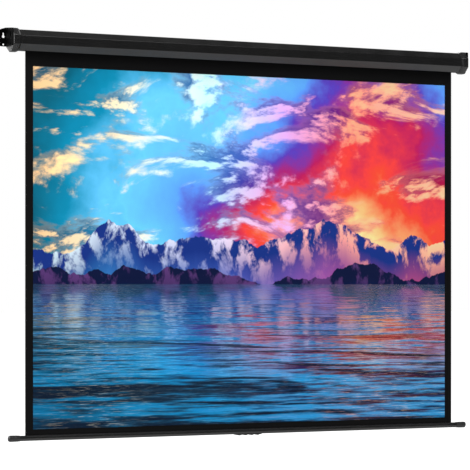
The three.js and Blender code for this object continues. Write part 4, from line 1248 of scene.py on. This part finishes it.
def build_screws(caps, handle, colours):
    """Cuts the cap screws, the bracket screws and the handle screws."""
    black = plated_steel("blackened_screws", colours.black_screw, 0.42)

    def cut(name, node, *shape):
        piece_of(name, screw_for(node, *shape), node, black)
        dress([node], black)

    for side, inwards in (("left", 1), ("right", -1)):
        for place in ("front", "back"):
            cut(f"{side}_top_screw_{place}", f"{side}_cap_screw_{place}", Z, 1,
                CAP_SCREW_RADIUS, caps.screw_head, CAP_SCREW_PITCH, True)
            cut(f"{side}_clamp_screw_{place}", f"{side}_bracket_screw_{place}", X, inwards,
                BRACKET_SCREW_RADIUS, BRACKET_SCREW_HEAD, BRACKET_SCREW_PITCH, False)
        cut(f"{side}_grip_screw", f"{side}_handle_screw", Z, -1,
            HANDLE_SCREW_RADIUS, handle.screw_head, HANDLE_SCREW_PITCH, True)


def build_fabric(colours):
    """Hangs the black fabric and its turns on the roller."""
    cloth = black_cloth("black_screen_cloth", colours.fabric)
    fabric = new_piece("screen_fabric", flat_cloth(SHEET_LOW, SHEET_HIGH, rows=141, columns=181))
    lay_map(fabric, "cloth", SHEET_LOW[[X, Z]], (1, 1))
    finished(fabric, "screen_backing", cloth)
    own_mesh(fabric)

    body, run = wound_sheet(WRAP_TURNS)
    wraps = new_piece("wound_fabric", body)
    wind_map(wraps, "cloth")
    finished(wraps, "safety_wraps", cloth)
    dress(["screen_backing", "safety_wraps"], cloth)


def build_coat(colours, picture):
    """Lays the white viewing surface with its picture on the fabric. The black border below it shows over
    the bar."""
    # the picture is painted into the coat's colour as projected light
    coat = viewing_coat("viewing_coat", colours.coat, picture)
    size = (COAT_HIGH - COAT_LOW)[[X, Z]]
    surface = new_piece("picture_surface", flat_cloth(COAT_LOW, COAT_HIGH, rows=129, columns=171))
    lay_map(surface, "cloth", COAT_LOW[[X, Z]], (1, 1))
    lay_map(surface, "picture", COAT_LOW[[X, Z]], 1 / size)
    finished(surface, "viewing_surface", coat)
    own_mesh(surface)
    dress(["viewing_surface"], coat)


def build_bar(sizes, colours):
    """Extrudes the weight bar and cuts its lower chamber and its screw holes."""
    front, bottom = BAR_LOW[1], BAR_LOW[2]
    groove_top = BAR_HIGH[2] - sizes.groove_top
    # where the groove's paint is matt and its colour darkened as painted shade
    groove = ((front + MATT_AND_SHADE_FROM, front + sizes.groove_depth + MATT_AND_SHADE_PAST),
              (groove_top - sizes.groove_height, groove_top))
    finish = drawn_aluminium("bar_paint", colours.bar_finish, 0.28, groove)
    section = bar_section(sizes)
    body = loft([along_x(BAR_LOW[0], section), along_x(BAR_HIGH[0], section)])
    middle, half, floor = (front + BAR_HIGH[1]) / 2, sizes.chamber_width / 2, bottom + sizes.chamber_floor
    chamber = brick((BAR_LOW[0] - OVERRUN, middle - half, floor),
                    (BAR_HIGH[0] + OVERRUN, middle + half, floor + sizes.chamber_height))
    holes = [rod(Z, middle_of(f"{side}_handle_screw"), HANDLE_SCREW_RADIUS, bottom - OVERRUN,
                 floor + INTO_CHAMBER) for side in ("left", "right")]
    piece_of("bar_extrusion", body, "weight_bar", finish, [chamber, *holes])
    dress(["weight_bar"], finish)


def build_bar_caps(sizes, colours):
    """Moulds both caps of the weight bar."""
    plastic = moulded_plastic("bar_cap_plastic", colours.bar_cap_plastic, 0.36)
    both_ends("bar_end", bar_cap(sizes), "bar_cap", plastic)
    dress(["left_bar_cap", "right_bar_cap"], plastic)


def build_handle(sizes, colours):
    """Moulds the pull handle, with seats for its two screws."""
    plastic = moulded_plastic("handle_plastic", colours.handle_plastic, 0.42)
    nodes = ["left_handle_screw", "right_handle_screw"]
    low, high = span(nodes[0])
    seat_top = low[2] + sizes.screw_head + SEAT_GAP
    cutters = screw_holes(nodes, Z, HANDLE_SCREW_RADIUS, low[2] - OVERRUN, high[2])
    cutters += screw_holes(nodes, Z, head_radius(nodes[0], Z), low[2] - OVERRUN, seat_top)
    piece_of("finger_grip", grip(sizes), "pull_handle", plastic, cutters)
    dress(["pull_handle"], plastic)


def build_works(colours):
    """Winds the spring and finishes the CAD pieces inside the case and the bar."""
    spring = plated_steel("oiled_spring_steel", colours.spring, 0.30, scale=2.0)
    zinc = plated_steel("zinc_plate", colours.steel, 0.36)
    acetal = natural_acetal("acetal", colours.acetal)
    piece_of("spring_coil", coil(steps_per_curl=20, sides=10), "torsion_spring", spring)
    dress(["torsion_spring"], spring)
    dress(["left_saddle_plate", "right_saddle_plate", "spring_spindle", "ratchet_disc", "retaining_ring",
           "roller_tube", "idle_axle_pin", "upper_pawl", "lower_pawl", "upper_pawl_pin",
           "lower_pawl_pin"], zinc)
    dress(["left_roller_plug", "right_roller_plug", "bearing_bush", "spindle_collar", "hem_rod"], acetal)


# Stage

CAMERA_PLACE = (-3.920, -7.619, -0.874)
CAMERA_TURN = (90, 0, -27.033)  # degrees
SENSOR_WIDTH = 36  # mm
LENS = 176.95  # mm
SHIFT_UP = 0.1148
FAR_CLIP = 200
LAMP_PLACE = (-2.0, -2.8, 5.4)
LAMP_AIM = (0.0, 0.0, -0.7)
LAMP_WIDTH, LAMP_DEPTH = 5.0, 3.0
FLOOR_POINTS = 25  # along each side
FLOOR_GREY = 0.65
WHITE, BLACK = (1, 1, 1, 1), (0, 0, 0, 1)


def set_camera():
    camera = bpy.data.cameras.new("camera")
    camera.lens = LENS
    camera.sensor_width = SENSOR_WIDTH
    camera.shift_y = SHIFT_UP
    camera.clip_end = FAR_CLIP
    camera.dof.use_dof = False
    made = new_object("camera", camera)
    made.location = CAMERA_PLACE
    made.rotation_euler = [math.radians(turn) for turn in CAMERA_TURN]
    bpy.context.scene.camera = made


def ray_kinds(finish):
    """1 for a ray from the camera, and 1 for a ray that was mirrored or went through something."""
    rays = finish.node("ShaderNodeLightPath").outputs
    return rays["Is Camera Ray"], finish.largest(rays["Is Glossy Ray"], rays["Is Transmission Ray"])


def set_world(sizes):
    """White where the camera looks, and even light for the surfaces. What they mirror is a studio that is
    dim in front and overhead, with a bright strip at its upper left, and white behind and to the left."""
    world = bpy.data.worlds.new("studio")
    world.use_nodes = True
    bpy.context.scene.world = world
    sky = Finish("studio", world.node_tree)
    from_camera, mirrored_light = ray_kinds(sky)
    x, y, z = sky.parts(sky.node("ShaderNodeTexCoord").outputs["Generated"])
    overhead = sky.range(z, 0.25, 0.70, smooth=True)
    ceiling = sky.times(overhead, sky.range(x, 0.50, 0.36, 0.0, 0.22))
    front = sky.times(sky.minus(1.0, overhead), sky.range(x, 0.0, 1.0, 0.17, 0.12))
    strip = sky.times(sky.range(z, 0.38, 0.45, smooth=True), sky.range(z, 0.76, 0.68, smooth=True),
                      sky.range(x, 0.47, 0.375, 0.05, 5.0, smooth=True))
    behind = sky.times(sky.range(y, -0.05, 0.12, smooth=True),
                       sky.range(x, -0.10, -0.32, 1.0, 1.6, smooth=True))
    left = sky.range(x, -0.55, -0.75, 0.0, 4.5, smooth=True)
    studio = sky.largest(sky.plus(ceiling, front), strip, behind, left)
    even = sky.times(sky.minus(1.0, mirrored_light), sizes.ambient)
    level = sky.largest(sky.plus(sky.times(mirrored_light, studio), even), from_camera)
    background = sky.add("ShaderNodeBackground", {"Color": WHITE, "Strength": level})
    sky.node("ShaderNodeOutputWorld", {0: background})


def set_lamp(sizes):
    """A large soft lamp in front, above and to the left. A lamp shines along its own -Z."""
    light = bpy.data.lights.new("softbox", "AREA")
    light.shape = "RECTANGLE"
    light.size = LAMP_WIDTH
    light.size_y = LAMP_DEPTH
    light.energy = sizes.key
    lamp = new_object("softbox", light)
    lamp.visible_glossy = False
    lamp.location = LAMP_PLACE
    x, y, z = np.subtract(LAMP_AIM, LAMP_PLACE)
    lamp.rotation_euler = (math.atan2(math.hypot(x, y), -z), 0, math.atan2(-x, y))


def set_floor(sizes):
    """A pale floor. It glows white for the camera, so that only shadows show on it, and near the screen it
    glows in reflections, where its own paint doesn't show."""
    half = sizes.floor_size / 2
    side = np.linspace(-half, half, FLOOR_POINTS)
    x, y = np.meshgrid(side, side)
    points = np.stack([x, y, np.full_like(x, sizes.floor_z)], -1).reshape(-1, 3)
    mesh = bpy.data.meshes.new("floor")
    mesh.from_pydata(points.tolist(), [], quads(FLOOR_POINTS, FLOOR_POINTS).tolist())
    floor = new_object("floor", mesh)
    paint = Finish("floor_paint")
    from_camera, mirrored_light = ray_kinds(paint)
    distance = paint.node("ShaderNodeVectorMath", {0: paint.place()}, operation="LENGTH").outputs["Value"]
    glow = paint.plus(paint.times(from_camera, paint.range(distance, 2.0, 4.5, 0.74, 0.86)),
                      paint.times(mirrored_light, paint.range(distance, 2.6, 5.5, 1.0, 0.16)))
    glow = paint.add("ShaderNodeEmission", {"Color": WHITE, "Strength": glow})
    matt = paint.add("ShaderNodeBsdfDiffuse", {"Color": (FLOOR_GREY, FLOOR_GREY, FLOOR_GREY, 1)})
    dark = paint.add("ShaderNodeBsdfDiffuse", {"Color": BLACK})
    kept = paint.add("ShaderNodeMixShader", {0: mirrored_light, 1: matt, 2: dark})
    surface = paint.add("ShaderNodeAddShader", {0: kept, 1: glow})
    paint.node("ShaderNodeOutputMaterial", {0: surface})
    mesh.materials.append(paint.material)


# The add-on

class ScreenLooks(PropertyGroup):
    case: PointerProperty(type=CaseSizes, name="Case", description="Sizes of the case")
    caps: PointerProperty(type=CapSizes, name="End caps", description="Sizes of the end caps")
    brackets: PointerProperty(type=BracketSizes, name="Brackets", description="Sizes of the wall brackets")
    bar: PointerProperty(type=BarSizes, name="Weight bar", description="Sizes of the bar and its caps")
    handle: PointerProperty(type=HandleSizes, name="Handle", description="Sizes of the pull handle")
    colours: PointerProperty(type=Colours, name="Colours", description="Colours of all the finishes")
    picture: PointerProperty(type=Picture, name="Picture", description="The picture on the viewing surface")
    stage: PointerProperty(type=StageSizes, name="Stage", description="Floor and lights")


class SCREEN_OT_stage(Operator):
    """Sets the camera, the world, the lamp and the floor"""
    bl_idname = "projection_screen.stage"
    bl_label = "Stage"

    def execute(self, context):
        stage = context.scene.screen_looks.stage
        context.scene.view_settings.view_transform = "Standard"
        set_camera()
        set_world(stage)
        set_lamp(stage)
        set_floor(stage)
        return {"FINISHED"}


class SCREEN_OT_case(Operator):
    """Builds the roll-formed steel case"""
    bl_idname = "projection_screen.case"
    bl_label = "Case"

    def execute(self, context):
        looks = context.scene.screen_looks
        build_case(looks.case, looks.colours)
        return {"FINISHED"}


class SCREEN_OT_end_caps(Operator):
    """Builds the two moulded caps on the case"""
    bl_idname = "projection_screen.end_caps"
    bl_label = "End caps"

    def execute(self, context):
        looks = context.scene.screen_looks
        build_caps(looks.caps, looks.case, looks.colours)
        return {"FINISHED"}


class SCREEN_OT_brackets(Operator):
    """Builds the two wall brackets with their keyholes"""
    bl_idname = "projection_screen.brackets"
    bl_label = "Wall brackets"

    def execute(self, context):
        looks = context.scene.screen_looks
        build_brackets(looks.brackets, looks.colours)
        return {"FINISHED"}


class SCREEN_OT_screws(Operator):
    """Builds the screws of the caps, the brackets and the handle"""
    bl_idname = "projection_screen.screws"
    bl_label = "Screws"

    def execute(self, context):
        looks = context.scene.screen_looks
        build_screws(looks.caps, looks.handle, looks.colours)
        return {"FINISHED"}


class SCREEN_OT_fabric(Operator):
    """Hangs the black screen fabric and winds its turns on the roller"""
    bl_idname = "projection_screen.fabric"
    bl_label = "Fabric"

    def execute(self, context):
        build_fabric(context.scene.screen_looks.colours)
        return {"FINISHED"}


class SCREEN_OT_viewing_surface(Operator):
    """Lays the matt white viewing surface on the fabric, with its picture painted in as projected light"""
    bl_idname = "projection_screen.viewing_surface"
    bl_label = "Viewing surface"

    def execute(self, context):
        looks = context.scene.screen_looks
        build_coat(looks.colours, looks.picture)
        return {"FINISHED"}


class SCREEN_OT_weight_bar(Operator):
    """Builds the grooved weight bar"""
    bl_idname = "projection_screen.weight_bar"
    bl_label = "Weight bar"

    def execute(self, context):
        looks = context.scene.screen_looks
        build_bar(looks.bar, looks.colours)
        return {"FINISHED"}


class SCREEN_OT_bar_caps(Operator):
    """Builds the two rounded caps of the weight bar"""
    bl_idname = "projection_screen.bar_caps"
    bl_label = "Bar caps"

    def execute(self, context):
        looks = context.scene.screen_looks
        build_bar_caps(looks.bar, looks.colours)
        return {"FINISHED"}


class SCREEN_OT_handle(Operator):
    """Builds the pull handle with its finger scallops"""
    bl_idname = "projection_screen.handle"
    bl_label = "Pull handle"

    def execute(self, context):
        looks = context.scene.screen_looks
        build_handle(looks.handle, looks.colours)
        return {"FINISHED"}


class SCREEN_OT_works(Operator):
    """Winds the torsion spring and finishes the pieces inside"""
    bl_idname = "projection_screen.works"
    bl_label = "Spring and roller"

    def execute(self, context):
        build_works(context.scene.screen_looks.colours)
        return {"FINISHED"}


STEPS = (SCREEN_OT_stage, SCREEN_OT_case, SCREEN_OT_end_caps, SCREEN_OT_brackets, SCREEN_OT_screws,
         SCREEN_OT_fabric, SCREEN_OT_viewing_surface, SCREEN_OT_weight_bar, SCREEN_OT_bar_caps,
         SCREEN_OT_handle, SCREEN_OT_works)


class VIEW3D_PT_projection_screen(Panel):
    """Lists the steps that build the screen"""
    bl_idname = "VIEW3D_PT_projection_screen"
    bl_label = "Projection screen"
    bl_space_type = "VIEW_3D"
    bl_region_type = "UI"
    bl_category = "Screen"

    def draw(self, context):
        column = self.layout.column(align=True)
        for step in STEPS:
            column.operator(step.bl_idname)


GROUPS = (CaseSizes, CapSizes, BracketSizes, BarSizes, HandleSizes, Colours, Picture, StageSizes,
          ScreenLooks)
CLASSES = (*GROUPS, *STEPS, VIEW3D_PT_projection_screen)


def register():
    for part in CLASSES:
        bpy.utils.register_class(part)
    bpy.types.Scene.screen_looks = PointerProperty(type=ScreenLooks, name="Projection screen",
                                                   description="Sizes and colours of the screen")


def unregister():
    del bpy.types.Scene.screen_looks
    for part in reversed(CLASSES):
        bpy.utils.unregister_class(part)


def main():
    register()
    bpy.ops.projection_screen.stage()
    bpy.ops.projection_screen.case()
    bpy.ops.projection_screen.end_caps()
    bpy.ops.projection_screen.brackets()
    bpy.ops.projection_screen.screws()
    bpy.ops.projection_screen.fabric()
    bpy.ops.projection_screen.viewing_surface()
    bpy.ops.projection_screen.weight_bar()
    bpy.ops.projection_screen.bar_caps()
    bpy.ops.projection_screen.handle()
    bpy.ops.projection_screen.works()


if __name__ == "__main__":
    main()
